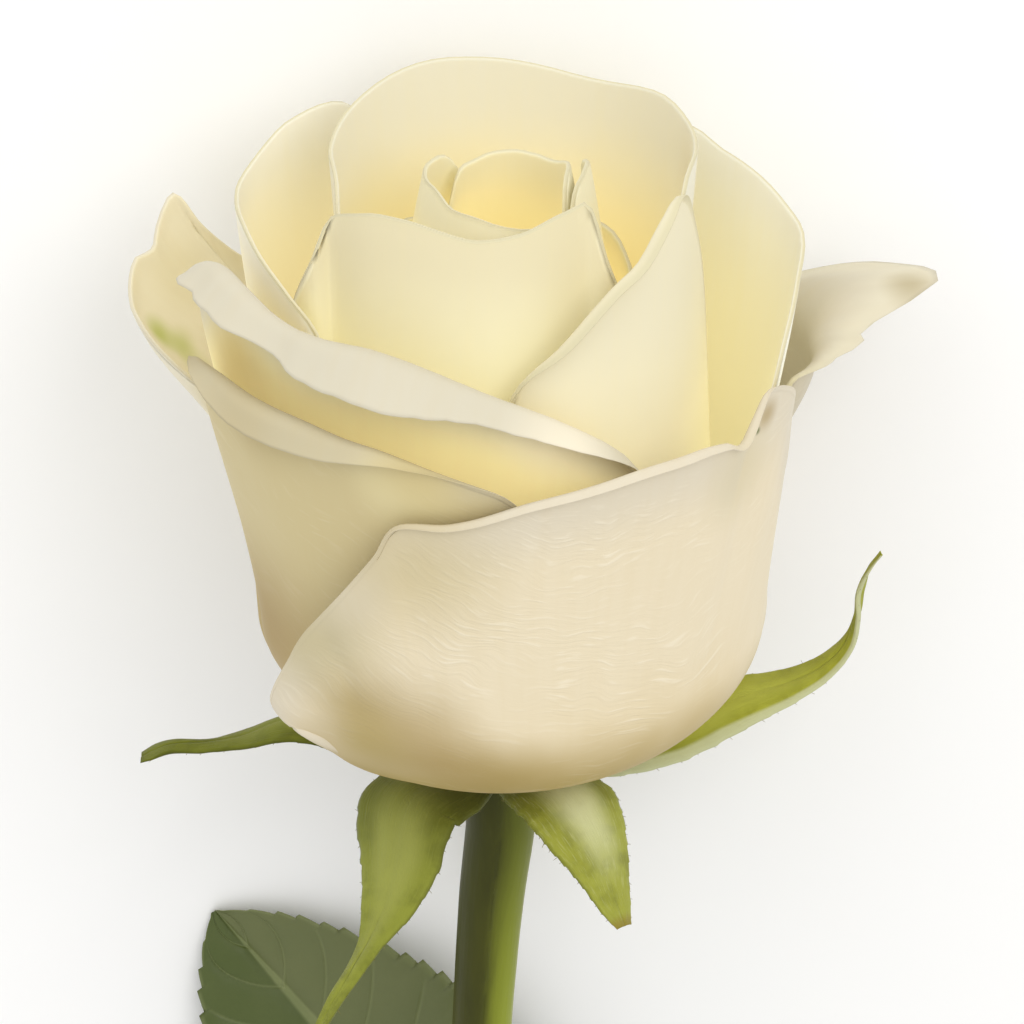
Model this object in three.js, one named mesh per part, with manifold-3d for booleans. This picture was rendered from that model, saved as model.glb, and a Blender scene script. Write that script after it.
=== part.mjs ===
import * as THREE from 'three';
import { mergeVertices } from 'three/addons/utils/BufferGeometryUtils.js';
import Module from 'manifold-3d';

// One cut rose lying on a table, bloom towards +Y, stem towards -Y, the table at Z = 0.
// All lengths are millimetres and all angles degrees.
// The bloom is drawn in its own frame: x to the right, y up along its axis, z towards its front.
// A petal point is given as [angle round the axis from the front, distance from the axis, height].

// Where the base of the bloom stands and how far its axis leans up from the table.
const BLOOM_AT = [0, 88, 23];
const BLOOM_TILT = 4.9;
// How far the whole rose is moved so that the middle of its outline stands at the origin.
const SET_DOWN = [-17.16, -1.25, 0];

const PETAL_THICK = 0.6;
const SEPAL_THICK = 0.8;
const LEAF_THICK = 0.8;

// The bowl that the petals follow: centre height of the belly and its depth below that height.
const BELLY_HEIGHT = 16;
const BOWL_DEPTH = 15.1;
const CLAW_RADIUS = 4.3;

const rad = (deg) => (deg * Math.PI) / 180;
const mix = (a, b, t) => a + (b - a) * t;
const ease = (t) => {
  const k = Math.min(1, Math.max(0, t));
  return k * k * (3 - 2 * k);
};

// A smooth curve through rows of numbers, read by its share of the length from 0 to 1.
// Lengths are measured with the first three numbers of a row, the first one times `weight`.
function curve(rows, weight = 1) {
  const at = [0];
  for (let i = 1; i < rows.length; i += 1) {
    const step = [0, 1, 2].map((n) => (rows[i][n] - rows[i - 1][n]) * (n === 0 ? weight : 1));
    at.push(at[i - 1] + Math.hypot(...step));
  }
  const slope = (i, n) => {
    const before = Math.max(0, i - 1);
    const after = Math.min(rows.length - 1, i + 1);
    return (rows[after][n] - rows[before][n]) / (at[after] - at[before]);
  };
  const whole = at[at.length - 1];
  const read = (share) => {
    const s = Math.min(1, Math.max(0, share)) * whole;
    let i = 0;
    while (i < rows.length - 2 && s > at[i + 1]) i += 1;
    const gap = at[i + 1] - at[i];
    const t = (s - at[i]) / gap;
    const t2 = t * t;
    const t3 = t2 * t;
    return rows[i].map((value, n) => (2 * t3 - 3 * t2 + 1) * value
      + (t3 - 2 * t2 + t) * gap * slope(i, n)
      + (3 * t2 - 2 * t3) * rows[i + 1][n]
      + (t3 - t2) * gap * slope(i + 1, n));
  };
  read.knots = at.map((value) => value / whole);
  return read;
}

// Lifts a point of the bloom's frame to a height above the table if it lies lower than that.
const LEAN = rad(BLOOM_TILT);
const tableHeight = (p) => BLOOM_AT[2] + p.y * Math.sin(LEAN) + p.z * Math.cos(LEAN);
function lift(p, height) {
  const short = height - tableHeight(p);
  if (short > 0) p.add(new THREE.Vector3(0, Math.sin(LEAN) * short, Math.cos(LEAN) * short));
  return p;
}

// The side line of one shell of the bowl, read by the length along it from the bottom.
function bowl(belly, drop, flare) {
  const depth = BOWL_DEPTH - drop;
  const quarter = (Math.PI / 2) * Math.sqrt((belly * belly + depth * depth) / 2);
  const start = quarter * Math.asin(CLAW_RADIUS / belly) / (Math.PI / 2);
  const lengthTo = (height) => (height >= BELLY_HEIGHT
    ? quarter + height - BELLY_HEIGHT
    : quarter * Math.acos((BELLY_HEIGHT - height) / depth) / (Math.PI / 2));
  const at = (s) => {
    if (s < quarter) {
      const turn = (s / quarter) * (Math.PI / 2);
      return [belly * Math.sin(turn), BELLY_HEIGHT - depth * Math.cos(turn)];
    }
    const up = s - quarter;
    return [belly + flare * (up / 30) ** 1.5, BELLY_HEIGHT + up];
  };
  return { start, lengthTo, at };
}

// The middle surface of a petal: rays run from its claw to each row of its rim, and then the
// lip rolls outward, bending first and running straight after that. The spread is the width of
// the claw as a share of the rim's, in angle.
function petalSurface(petal, rows) {
  const { belly, drop, flare, claw, rim, lipRows = 0, start = 0.35, spread = 0.5 } = petal;
  const shell = bowl(belly, drop, flare);
  const rimAt = curve(rim.map(([angle, radius, height, ...lip]) => [
    angle, radius || shell.at(shell.lengthTo(height))[0], height, ...lip]), 0.42);
  const point = (u, v) => {
    const [rimAngle, rimRadius, rimHeight] = rimAt(u);
    const end = shell.lengthTo(rimHeight);
    const [radius, height] = shell.at(mix(shell.start, end, v));
    const [endRadius] = shell.at(end);
    const r = radius + (rimRadius - endRadius) * ease((v - start) / (1 - start)) ** 1.3;
    const angle = rad(mix(claw, rimAngle, mix(spread, 1, v)));
    return new THREE.Vector3(r * Math.sin(angle), height, r * Math.cos(angle));
  };
  const grid = [];
  for (let j = 0; j <= rows; j += 1) {
    const v = (j / rows) ** 1.35;
    grid.push(rimAt.knots.map((u) => lift(point(u, v), PETAL_THICK / 2)));
  }
  const frames = rimAt.knots.map((u, i) => {
    const along = grid[rows][i].clone().sub(point(u, 0.96)).normalize();
    const aside = point(Math.min(1, u + 0.02), 1).sub(point(Math.max(0, u - 0.02), 1));
    const [, , , length = 0, turn = 0] = rimAt(u);
    return { along, out: aside.cross(along).normalize(), step: length / lipRows, turn: rad(turn) };
  });
  for (let j = 1; j <= lipRows; j += 1) {
    const share = Math.min(1, (j - 0.5) / (lipRows * 0.5));
    grid.push(grid[rows + j - 1].map((last, i) => {
      const { along, out, step, turn } = frames[i];
      return last.clone()
        .addScaledVector(along, step * Math.cos(turn * share))
        .addScaledVector(out, step * Math.sin(turn * share));
    }));
  }
  return grid;
}

// Sets the points that lie within a hair of the table exactly on it.
function settle(geometry) {
  const positions = geometry.getAttribute('position');
  const p = new THREE.Vector3();
  for (let i = 0; i < positions.count; i += 1) {
    p.fromBufferAttribute(positions, i);
    if (tableHeight(p) < 0.12) {
      lift(p, 0);
      p.addScaledVector(new THREE.Vector3(0, Math.sin(LEAN), Math.cos(LEAN)), -tableHeight(p));
      positions.setXYZ(i, p.x, p.y, p.z);
    }
  }
  return geometry;
}

// A closed sheet of even thickness over a grid of points. Each cell is split along its shorter
// diagonal, alike on both faces.
function sheet(grid, thick) {
  const rows = grid.length;
  const columns = grid[0].length;
  const positions = [];
  for (const side of [1, -1]) {
    for (let j = 0; j < rows; j += 1) {
      for (let i = 0; i < columns; i += 1) {
        const across = grid[j][Math.min(columns - 1, i + 1)].clone()
          .sub(grid[j][Math.max(0, i - 1)]);
        const along = grid[Math.min(rows - 1, j + 1)][i].clone()
          .sub(grid[Math.max(0, j - 1)][i]);
        const out = across.cross(along).normalize();
        const p = grid[j][i].clone().addScaledVector(out, (side * thick) / 2);
        positions.push(p.x, p.y, p.z);
      }
    }
  }
  const top = (j, i) => j * columns + i;
  const under = (j, i) => rows * columns + top(j, i);
  const index = [];
  const quad = (a, b, c, d) => index.push(a, b, c, a, c, d);
  for (let j = 0; j < rows - 1; j += 1) {
    for (let i = 0; i < columns - 1; i += 1) {
      const cell = [[j, i], [j, i + 1], [j + 1, i + 1], [j + 1, i]];
      const [a, b, c, d] = cell.map(([row, column]) => grid[row][column]);
      const turned = b.distanceTo(d) < a.distanceTo(c) ? 1 : 0;
      const [k, l, m, n] = [0, 1, 2, 3].map((corner) => cell[(corner + turned) % 4]);
      quad(top(...k), top(...l), top(...m), top(...n));
      index.push(under(...k), under(...m), under(...l), under(...k), under(...n), under(...m));
    }
    quad(top(j, 0), top(j + 1, 0), under(j + 1, 0), under(j, 0));
    const end = columns - 1;
    quad(top(j + 1, end), top(j, end), under(j, end), under(j + 1, end));
  }
  for (let i = 0; i < columns - 1; i += 1) {
    quad(top(0, i + 1), top(0, i), under(0, i), under(0, i + 1));
    const end = rows - 1;
    quad(top(end, i), top(end, i + 1), under(end, i + 1), under(end, i));
  }
  const geometry = new THREE.BufferGeometry();
  geometry.setAttribute('position', new THREE.Float32BufferAttribute(positions, 3));
  geometry.setIndex(index);
  return geometry;
}

// Petals: the shell that each follows, the angle of its claw, and its rim from one low end over
// the top to the other, as rows of [angle, radius, height, length of the lip, turn of the lip].
// A radius of 0 stands for the shell's own radius at that height.
const FIVE_OUTER = {
  petal_front: {
    belly: 24.6, drop: 0, claw: 14, flare: 3, lipRows: 3,
    rim: [[-14, 0, 5.4, 0.9, 10], [-34, 0, 10.4, 0.9, 10], [-48, 27, 14.6, 0.9, 10],
      [-42, 27.2, 21.5, 0.9, 20], [-31, 27, 29.3, 1, 30], [-24, 27, 34.2, 1.2, 50],
      [-19.5, 27, 38, 1.2, 80], [-9, 27, 38.6, 1.6, 100], [6, 27.1, 41, 1.7, 110],
      [23, 27.3, 42.6, 1.7, 110], [40, 27.4, 42.8, 1.6, 100], [53, 27.5, 41.9, 1.2, 80],
      [57, 27.6, 43.2, 1, 50], [61, 27.5, 44.9, 0.9, 40], [66, 27.6, 44.2, 0.9, 30],
      [72, 27.7, 42, 0.9, 20], [78, 26.9, 37.6, 0.9, 15], [85, 26, 31, 0.9, 15],
      [92, 24.9, 24, 0.9, 10], [88, 0, 13, 0.9, 10], [77, 0, 8.6, 0.9, 10], [64, 0, 6, 0.9, 10]],
  },
  petal_far_left: {
    belly: 23.7, drop: 1.3, claw: -150, flare: 1.4, start: 0.72, spread: 0.14,
    rim: [[-161, 0, 6.6], [-161.5, 0, 9.8], [-162, 0, 14], [-163, 0, 26], [-152, 26, 36],
      [-138, 27.4, 38.6], [-130, 28.8, 40.4], [-123, 29.6, 43.4], [-117, 30.8, 47.4], [-114, 32.6, 51],
      [-110, 33.6, 49.2], [-107, 33.7, 47], [-104.5, 34.6, 46.6], [-101, 34.7, 45], [-96, 33.9, 44],
      [-90, 32, 42.8], [-86, 29, 40.4], [-89, 26.4, 37], [-98, 0, 29], [-112.5, 0, 16],
      [-119, 0, 10.6], [-126, 0, 6.6]],
  },
  petal_far_right: {
    belly: 23.3, drop: 1.3, claw: 112, flare: 1.4, lipRows: 4, start: 0.66, spread: 0.16,
    rim: [[102, 0, 6.6, 0.9, 10], [100.5, 0, 10.6, 0.9, 10], [98, 0, 16, 0.9, 10],
      [94.6, 24.4, 28, 0.9, 20], [91.5, 27.6, 37.8, 1.6, 50], [93, 28.8, 38.7, 2.8, 62],
      [97, 29.2, 39, 5.2, 80], [101, 29.3, 39, 9.2, 82], [105.5, 29.3, 39, 15.4, 82],
      [111, 29, 39, 12.4, 80], [119, 28.2, 38.4, 5.6, 66], [129, 26.1, 36, 1.2, 30],
      [139, 24.1, 26, 0.9, 20], [136, 0, 13, 0.9, 10], [131, 0, 9.2, 0.9, 10], [126, 0, 6.6, 0.9, 10]],
  },
  petal_left: {
    belly: 22.25, drop: 2.5, claw: -42, flare: 3, lipRows: 3,
    rim: [[-66, 0, 8, 0.9, 10], [-74, 0, 11, 0.9, 10], [-81, 0, 15, 0.9, 10], [-84, 23, 26, 0.9, 15],
      [-79, 26, 37, 0.9, 20], [-73, 28.4, 45, 1.2, 40], [-64, 28.2, 46, 2.8, 120],
      [-55, 27.8, 46, 3.8, 150], [-41, 26.8, 45.4, 3.8, 150], [-23, 26.4, 44.6, 2, 120],
      [-10, 26.2, 42.8, 0.9, 60], [2, 25.7, 40.2, 0.9, 30], [12, 24.8, 32, 0.9, 15],
      [10, 0, 18, 0.9, 10],
      [3, 0, 12.4, 0.9, 10], [-6, 0, 8, 0.9, 10]],
  },
  petal_behind: {
    belly: 25.4, drop: 0, claw: 168, flare: 2.6,
    rim: [[144, 0, 6], [136, 0, 9.4], [128, 0, 14], [124, 0, 24], [131, 27.2, 35], [146, 27.8, 42],
      [166, 28.2, 45], [188, 28, 44], [203, 27.6, 38], [211, 26.6, 28], [207, 0, 14],
      [200, 0, 9.4], [192, 0, 6]],
  },
};

const FIVE_NEXT = {
  petal_rolled: {
    belly: 20.7, drop: 3.95, claw: -28, flare: 2.4, lipRows: 4,
    rim: [[-66, 0, 9, 0.9, 10], [-76, 0, 12, 0.9, 10], [-84, 0, 16, 0.9, 10],
      [-91, 22.3, 30, 0.9, 20], [-87, 25.2, 42, 0.9, 20], [-82, 27.4, 49.6, 0.9, 40],
      [-77, 27, 52.8, 3.6, 90], [-71, 26, 54.4, 5.6, 115], [-63, 25.4, 54.2, 5.4, 120],
      [-53, 24.5, 52.8, 4.6, 122], [-42, 23.5, 52, 6.2, 125], [-28, 22.3, 51.5, 7.2, 122],
      [-8, 21.4, 49.2, 4.8, 120], [14, 21.6, 45.6, 3.8, 115], [31, 22, 40, 2.8, 80],
      [40, 0, 30, 0.9, 20], [34, 0, 16, 0.9, 10], [24, 0, 12, 0.9, 10], [12, 0, 9, 0.9, 10]],
  },
  petal_front_right: {
    belly: 19.5, drop: 5.2, claw: 44, flare: -0.6, lipRows: 3,
    rim: [[14, 0, 10, 0.9, 10], [4, 0, 13.4, 0.9, 10], [-3, 0, 18, 0.9, 10], [-7, 0, 32, 0.9, 20],
      [3, 18.9, 46.6, 1.2, 60], [17, 18.8, 51.9, 1.8, 100], [32, 18.7, 56.6, 1.8, 100],
      [40, 19, 58.4, 1.8, 100], [48, 19, 61.2, 1.6, 90], [57, 18.6, 62.4, 1.2, 60],
      [70, 18, 59, 0.9, 30], [82, 18.4, 50, 0.9, 20], [91, 0, 36, 0.9, 15], [88, 0, 20, 0.9, 10],
      [81, 0, 14.2, 0.9, 10], [72, 0, 10, 0.9, 10]],
  },
  petal_right: {
    belly: 21.75, drop: 2.8, claw: 106, flare: 2.4,
    rim: [[82, 0, 8], [74, 0, 12], [66, 0, 17], [63, 0, 30], [68, 26, 41], [77, 26.8, 48.2],
      [86, 27, 50.4], [96, 27.7, 52.3], [106, 27.2, 52.9], [116, 26.2, 53.9], [126, 25.6, 54.5],
      [137, 25.6, 55], [148, 25, 50], [151, 0, 34], [144, 0, 17], [137, 0, 12], [128, 0, 8]],
  },
  petal_left_back: {
    belly: 19.5, drop: 5.2, claw: -98, flare: 1.6,
    rim: [[-130, 0, 11], [-142, 0, 15.6], [-150, 0, 22], [-156, 0, 38], [-153, 23.2, 50],
      [-143, 23.8, 57.4],
      [-126, 24, 57.9], [-117, 24.4, 56.9], [-106, 24.8, 55.7], [-97, 24.3, 55.8], [-85, 23.5, 56],
      [-74, 22.6, 55], [-62, 21.6, 53.4], [-52, 20.6, 50], [-45, 0, 38], [-50, 0, 22],
      [-58, 0, 15.6], [-70, 0, 11]],
  },
  petal_below: {
    belly: 22.2, drop: 2.5, claw: 198, flare: 2.4,
    rim: [[174, 0, 8], [167, 0, 12], [160, 0, 17], [158, 0, 28], [163, 25, 42],
      [174, 26, 50], [190, 26.2, 53],
      [207, 26, 51], [219, 24.8, 44], [227, 0, 32], [222, 0, 17], [215, 0, 12], [208, 0, 8]],
  },
};

const INNER = {
  petal_inner_front: {
    belly: 18.0, drop: 6.6, claw: -14, flare: -1,
    rim: [[-58, 0, 13], [-71, 0, 17.6], [-80, 0, 24], [-84, 0, 38], [-72, 19.8, 49], [-63, 18.8, 56],
      [-63, 17, 59.6], [-47, 16.3, 61.5], [-34, 15.7, 62.1], [-17, 15.2, 61.4], [0, 14.8, 61],
      [15, 14, 61.6], [27, 13.5, 62.5], [35, 13.6, 62.8], [38, 15.2, 58], [44, 17, 50],
      [52, 0, 34], [46, 0, 20], [37, 0, 16], [26, 0, 13]],
  },
  petal_back: {
    belly: 16.6, drop: 7.9, claw: 178, flare: 0.2,
    rim: [[126, 0, 13], [107, 0, 17.6], [92, 0, 24], [80, 0, 44], [76, 16.8, 58],
      [84, 17, 61], [102, 18, 61.4],
      [118, 19, 61.4], [132, 19.6, 61.8], [153, 20.2, 61], [169, 19.8, 61.6], [190, 19.3, 62.6],
      [210, 18.5, 62.8], [231, 17.6, 61.2], [249, 16.4, 60.2], [268, 15, 59.6], [283, 15.2, 57],
      [284, 15.8, 44], [270, 0, 24], [253, 0, 17.6],
      [232, 0, 13]],
  },
};

// The small petals rolled in the middle, from the outside in.
const HEART = [
  {
    belly: 13.8, drop: 9.3, claw: 190, flare: -2,
    rim: [[140, 0, 15], [96, 0, 28], [88, 0, 44], [120, 12.8, 49.4], [160, 13, 50.4],
      [200, 12.8, 50], [240, 12.6, 49.4], [266, 0, 42], [262, 0, 28], [230, 0, 15]],
  },
  {
    belly: 12.6, drop: 10, claw: -50, flare: -3,
    rim: [[-92, 0, 16], [-126, 0, 30], [-146, 9.2, 46], [-150, 7.8, 56], [-138, 7.3, 59],
      [-115, 7.1, 59.4], [-85, 6.8, 60], [-55, 7, 60.3], [-32, 8.4, 60.3], [-13, 9.8, 60.3],
      [2, 11.1, 60.2], [16, 11.6, 60], [30, 11.4, 60.4], [38, 0, 46], [32, 0, 28], [-4, 0, 16]],
  },
  {
    belly: 12.6, drop: 10.1, claw: 86, flare: -3,
    rim: [[64, 0, 24], [54, 0, 36], [50, 9, 50], [56, 7.9, 59], [74, 7.8, 61], [96, 8, 60.6],
      [116, 8.4, 58], [118, 0, 42], [104, 0, 24]],
  },
  {
    belly: 11, drop: 10.9, claw: 130, flare: -3,
    rim: [[98, 0, 18], [60, 0, 34], [50, 8, 50], [58, 6.9, 60], [72, 6.4, 61.2], [92, 6.2, 60.8],
      [124, 6.4, 59.4], [165, 6.4, 59], [200, 6.2, 58.4], [226, 5.8, 56.6], [232, 0, 36], [180, 0, 18]],
  },
  {
    belly: 9.2, drop: 11.8, claw: -60, flare: -4,
    rim: [[-100, 0, 20], [-144, 0, 36], [-150, 5, 46], [-138, 4.4, 50.4], [-90, 4.6, 51.6],
      [-40, 5.2, 52], [10, 5.4, 51.6], [34, 6, 46], [30, 0, 34], [-20, 0, 20]],
  },
  {
    belly: 6.8, drop: 12.6, claw: 120, flare: -4,
    rim: [[80, 0, 24], [26, 0, 38], [22, 3.6, 46], [50, 2.9, 50], [110, 3, 50.6], [170, 3, 50],
      [216, 3, 48.4], [222, 0, 38], [168, 0, 24]],
  },
];

// The urn under the bloom and the knob inside it that carries the petals, as [radius, height].
const HIP = [[3.3, -7], [3.4, -5.4], [4.2, -3.8], [5.1, -2.4], [5.2, -1], [4.8, 0.1], [3.7, 0.4],
  [3.7, 8.6]];
const HEART_CORE = [[3.3, 9.2], [4.8, 10.8], [4.8, 15.4], [3, 19], [2, 28], [0.8, 34]];

// Sepals: rows of [angle, distance from the axis, height, width, twist] from the hip to the tip.
const SEPALS = {
  front_left: [[-35, 3.4, -2.2, 6, 0], [-34, 8, -1.8, 9.8, 0], [-34, 12.6, -2.2, 10.8, 0],
    [-34, 17.3, -6.4, 8.8, 6], [-35, 22, -12.2, 6, 14], [-36, 25.6, -16.8, 2.8, 24],
    [-36, 28, -19.8, 1.6, 26], [-37, 29.6, -22.6, 1, 26]],
  front_right: [[35, 3.4, -2.2, 6, 0], [34, 7.6, -1.8, 9.8, 0], [34, 11.4, -2.4, 10.2, 0],
    [35, 15.2, -5.6, 8, -6], [35, 18.6, -8.8, 4.4, -10], [35, 20.2, -10.6, 2, -10]],
  left: [[-104, 3.4, -2.2, 5, 0], [-102, 9, -2.4, 6.6, 14], [-101, 15, -1.6, 6.4, 24],
    [-100, 20, -1.8, 5, 30], [-100, 25, -3.6, 3.8, 30], [-100, 29.6, -4.6, 2.6, 28],
    [-100, 34, -5.8, 1.4, 24]],
  right: [[106, 3.4, -2.2, 5, 0], [102, 9, -2.4, 7.2, 0], [98, 16, -1.2, 7, -4],
    [99, 22.4, 0.9, 5.6, -4], [100, 27.4, 2.9, 4, -2], [101, 31.2, 5.4, 2.8, 0],
    [101, 33.4, 8.6, 2.2, 0], [101, 34.6, 12.2, 1.8, 0], [100, 36, 15.8, 1.2, 0]],
  back: [[178, 3.4, -2.2, 5, 0], [178, 8, -3.2, 8, 0], [178, 12.6, -6.4, 7.6, 0],
    [180, 16.4, -11.4, 5.6, 0], [182, 18.6, -17.6, 3.4, 0], [184, 19.2, -24, 2, 0],
    [186, 18.8, -30, 1.1, 0]],
};

// The stem in the bloom's frame: rows of [x, height, front, radius], from under the hip down.
const STEM = [[0, -7.3, 0, 3.3], [0, -9.4, 0, 3.3], [-0.9, -18, 0, 3.1], [-1.9, -34, 0, 2.85],
  [-3.1, -60, 0.2, 2.8], [-4.2, -100, 0.6, 2.8], [-4, -150, 0.8, 2.9], [-2.4, -200, 0.6, 3.1],
  [-0.4, -238, 0.52, 3.2]];
// Prickles: [share of the stem's length, angle round it].
const PRICKLES = [[0.52, 60], [0.6, 200], [0.68, -60], [0.8, 100], [0.88, -20]];

// Leaves in the table's frame: the stalk as [x, y, z, radius] rows, then leaflets as
// [x, y, z at the base, heading left of +Y, length, width, height of the middle, of the tip].
const LEAVES = {
  leaf_upper: {
    stalk: [[-1.9, -28, 9.6, 1.4], [0.6, -18, 6.6, 0.9], [3.2, -7, 3.4, 0.8], [4.2, 5, 2.2, 0.7],
      [3.6, 15, 2, 0.7], [2, 22, 2, 0.6]],
    leaflets: [[2.4, 21, 2, 40, 45, 32, 2.6, 0.6], [3.8, 8, 2, 98, 36, 24, 3.4, 0.5],
      [4.2, 9, 2, -72, 37, 24, 3.4, 0.5]],
    stipule: [-1, -25, 8.4, 12, 13, 4],
  },
  leaf_lower: {
    stalk: [[0.95, -78, 8.6, 1.4], [9, -68, 6.6, 0.9], [18, -57, 3.6, 0.8], [27, -47, 2.2, 0.7],
      [35, -38, 2, 0.7], [40, -32, 2, 0.6]],
    leaflets: [[39, -33, 2, -44, 40, 27, 3.4, 0.5], [30, -44, 2, 22, 33, 21, 3.2, 0.5],
      [31, -43, 2, -112, 33, 22, 3.2, 0.5], [18, -57, 3.4, 26, 26, 17, 3.4, 0.5],
      [19, -56, 3.4, -118, 27, 18, 3.4, 0.5]],
    stipule: [4.6, -73.4, 7.6, -42, 13, 4],
  },
};
const TEETH = 7;

// Joins solids into one body.
const wasm = await Module();
wasm.setup();
function join(geometries) {
  let body = null;
  for (const geometry of geometries) {
    const bare = new THREE.BufferGeometry();
    bare.setAttribute('position', geometry.getAttribute('position'));
    bare.setIndex(geometry.index);
    const merged = mergeVertices(bare, 1e-5);
    const solid = new wasm.Manifold(new wasm.Mesh({
      numProp: 3,
      vertProperties: new Float32Array(merged.getAttribute('position').array),
      triVerts: new Uint32Array(merged.index.array),
    }));
    body = body ? body.add(solid) : solid;
  }
  const mesh = body.getMesh();
  const geometry = new THREE.BufferGeometry();
  const positions = new Float32Array((mesh.vertProperties.length / mesh.numProp) * 3);
  for (let i = 0; i < positions.length / 3; i += 1) {
    positions.set(mesh.vertProperties.slice(i * mesh.numProp, i * mesh.numProp + 3), i * 3);
  }
  geometry.setAttribute('position', new THREE.Float32BufferAttribute(positions, 3));
  geometry.setIndex(Array.from(mesh.triVerts));
  return geometry;
}

// A closed body of rings, each given by its centre, radius and two directions.
function rings(list, sides) {
  const positions = [];
  const index = [];
  for (const { centre, radius, right, front } of list) {
    for (let k = 0; k < sides; k += 1) {
      const turn = (k / sides) * Math.PI * 2;
      const p = centre.clone()
        .addScaledVector(right, radius * Math.sin(turn))
        .addScaledVector(front, radius * Math.cos(turn));
      positions.push(p.x, p.y, p.z);
    }
  }
  const ends = [list[0], list[list.length - 1]].map(({ centre }) => {
    positions.push(centre.x, centre.y, centre.z);
    return positions.length / 3 - 1;
  });
  for (let k = 0; k < sides; k += 1) {
    const next = (k + 1) % sides;
    for (let j = 0; j < list.length - 1; j += 1) {
      const a = j * sides + k;
      const b = j * sides + next;
      index.push(a, b, b + sides, a, b + sides, a + sides);
    }
    const last = (list.length - 1) * sides;
    index.push(ends[0], next, k, ends[1], last + k, last + next);
  }
  const geometry = new THREE.BufferGeometry();
  geometry.setAttribute('position', new THREE.Float32BufferAttribute(positions, 3));
  geometry.setIndex(index);
  return geometry;
}

// A stalk along rows of [x, y, z, radius].
function stalk(rows, steps, sides) {
  const at = curve(rows);
  const list = [];
  for (let j = 0; j <= steps; j += 1) {
    const [x, y, z, radius] = at(j / steps);
    const before = new THREE.Vector3(...at(Math.max(0, j / steps - 0.01)));
    const after = new THREE.Vector3(...at(Math.min(1, j / steps + 0.01)));
    const along = after.sub(before).normalize();
    const front = new THREE.Vector3(0, 0, 1).addScaledVector(along, -along.z).normalize();
    const right = along.clone().cross(front);
    list.push({ centre: new THREE.Vector3(x, y, z), radius, right, front });
  }
  return rings(list, sides);
}

// A turned body about the bloom's axis from rows of [radius, height].
function turned(rows, sides) {
  const right = new THREE.Vector3(1, 0, 0);
  const front = new THREE.Vector3(0, 0, 1);
  return rings(rows.map(([radius, height]) => ({
    centre: new THREE.Vector3(0, height, 0), radius, right, front,
  })), sides);
}

function sepal(rows) {
  const at = curve(rows.map(([angle, radius, height, ...rest]) => [
    radius * Math.sin(rad(angle)), height, radius * Math.cos(rad(angle)), ...rest]));
  const steps = 12;
  const grid = [];
  for (let j = 0; j <= steps; j += 1) {
    const [x, y, z, width, twist] = at(j / steps);
    const before = new THREE.Vector3(...at(Math.max(0, j / steps - 0.02)));
    const after = new THREE.Vector3(...at(Math.min(1, j / steps + 0.02)));
    const along = after.sub(before).normalize();
    const side = new THREE.Vector3(Math.cos(rad(rows[0][0])), 0, -Math.sin(rad(rows[0][0])));
    side.addScaledVector(along, -side.dot(along)).normalize().applyAxisAngle(along, rad(twist));
    const up = side.clone().cross(along);
    const toothed = width * (j % 2 && j > 2 && j < steps - 1 ? 1.1 : 0.94);
    grid.push([-1, -0.5, 0, 0.5, 1].map((share) => new THREE.Vector3(x, y, z)
      .addScaledVector(side, (share * toothed) / 2)
      .addScaledVector(up, -0.12 * width * (1 - share * share))));
  }
  return sheet(grid, SEPAL_THICK);
}

function leaflet([x, y, z, heading, length, width, middle, tip], teeth) {
  const ahead = new THREE.Vector3(-Math.sin(rad(heading)), Math.cos(rad(heading)), 0);
  const side = new THREE.Vector3(ahead.y, -ahead.x, 0);
  const rows = teeth * 2;
  const grid = [];
  for (let j = 0; j <= rows; j += 1) {
    const t = j / rows;
    const half = (width / 2) * Math.sin(Math.PI * Math.min(1, t ** 0.82 * 0.97 + 0.03)) ** 0.72;
    const tooth = j % 2 && j < rows ? 1.06 : 0.93;
    const height = mix(mix(z, middle, ease(t * 2)), tip, ease(t * 2 - 1));
    grid.push([-1, -0.5, 0, 0.5, 1].map((share) => {
      const reach = share * Math.max(half * tooth, 0.5);
      const fold = 0.16 * Math.abs(reach) - 0.35 * Math.sin(t * 9 + share * 2) * Math.abs(share);
      return new THREE.Vector3(x, y, height + fold)
        .addScaledVector(ahead, length * t + (j % 2 ? 0.9 * Math.abs(share) ** 3 : 0))
        .addScaledVector(side, reach);
    }));
  }
  return sheet(grid, LEAF_THICK);
}

function colour(name, hex, roughness) {
  const material = new THREE.MeshStandardMaterial({ color: hex, roughness, metalness: 0 });
  material.name = name;
  return material;
}

function node(name, geometry, material) {
  const mesh = new THREE.Mesh(geometry, material);
  mesh.name = name;
  return mesh;
}

const bloom = new THREE.Group();
bloom.name = 'bloom';
bloom.position.set(...BLOOM_AT);
bloom.rotation.x = rad(BLOOM_TILT);

const petalColour = (name) => colour(`${name}_skin`, 0xf3ecd2, 0.55);
for (const [name, petal] of Object.entries({ ...FIVE_OUTER, ...FIVE_NEXT, ...INNER })) {
  bloom.add(node(name, settle(sheet(petalSurface(petal, 8), PETAL_THICK)), petalColour(name)));
}

const rolled = HEART.map((petal) => sheet(petalSurface(petal, 6), PETAL_THICK));
bloom.add(node('heart', join([turned(HEART_CORE, 12), ...rolled]), petalColour('heart')));

const sepals = Object.values(SEPALS).map(sepal);
bloom.add(node('calyx', join([turned(HIP, 20), ...sepals]), colour('calyx_green', 0x8a9a45, 0.6)));

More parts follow.
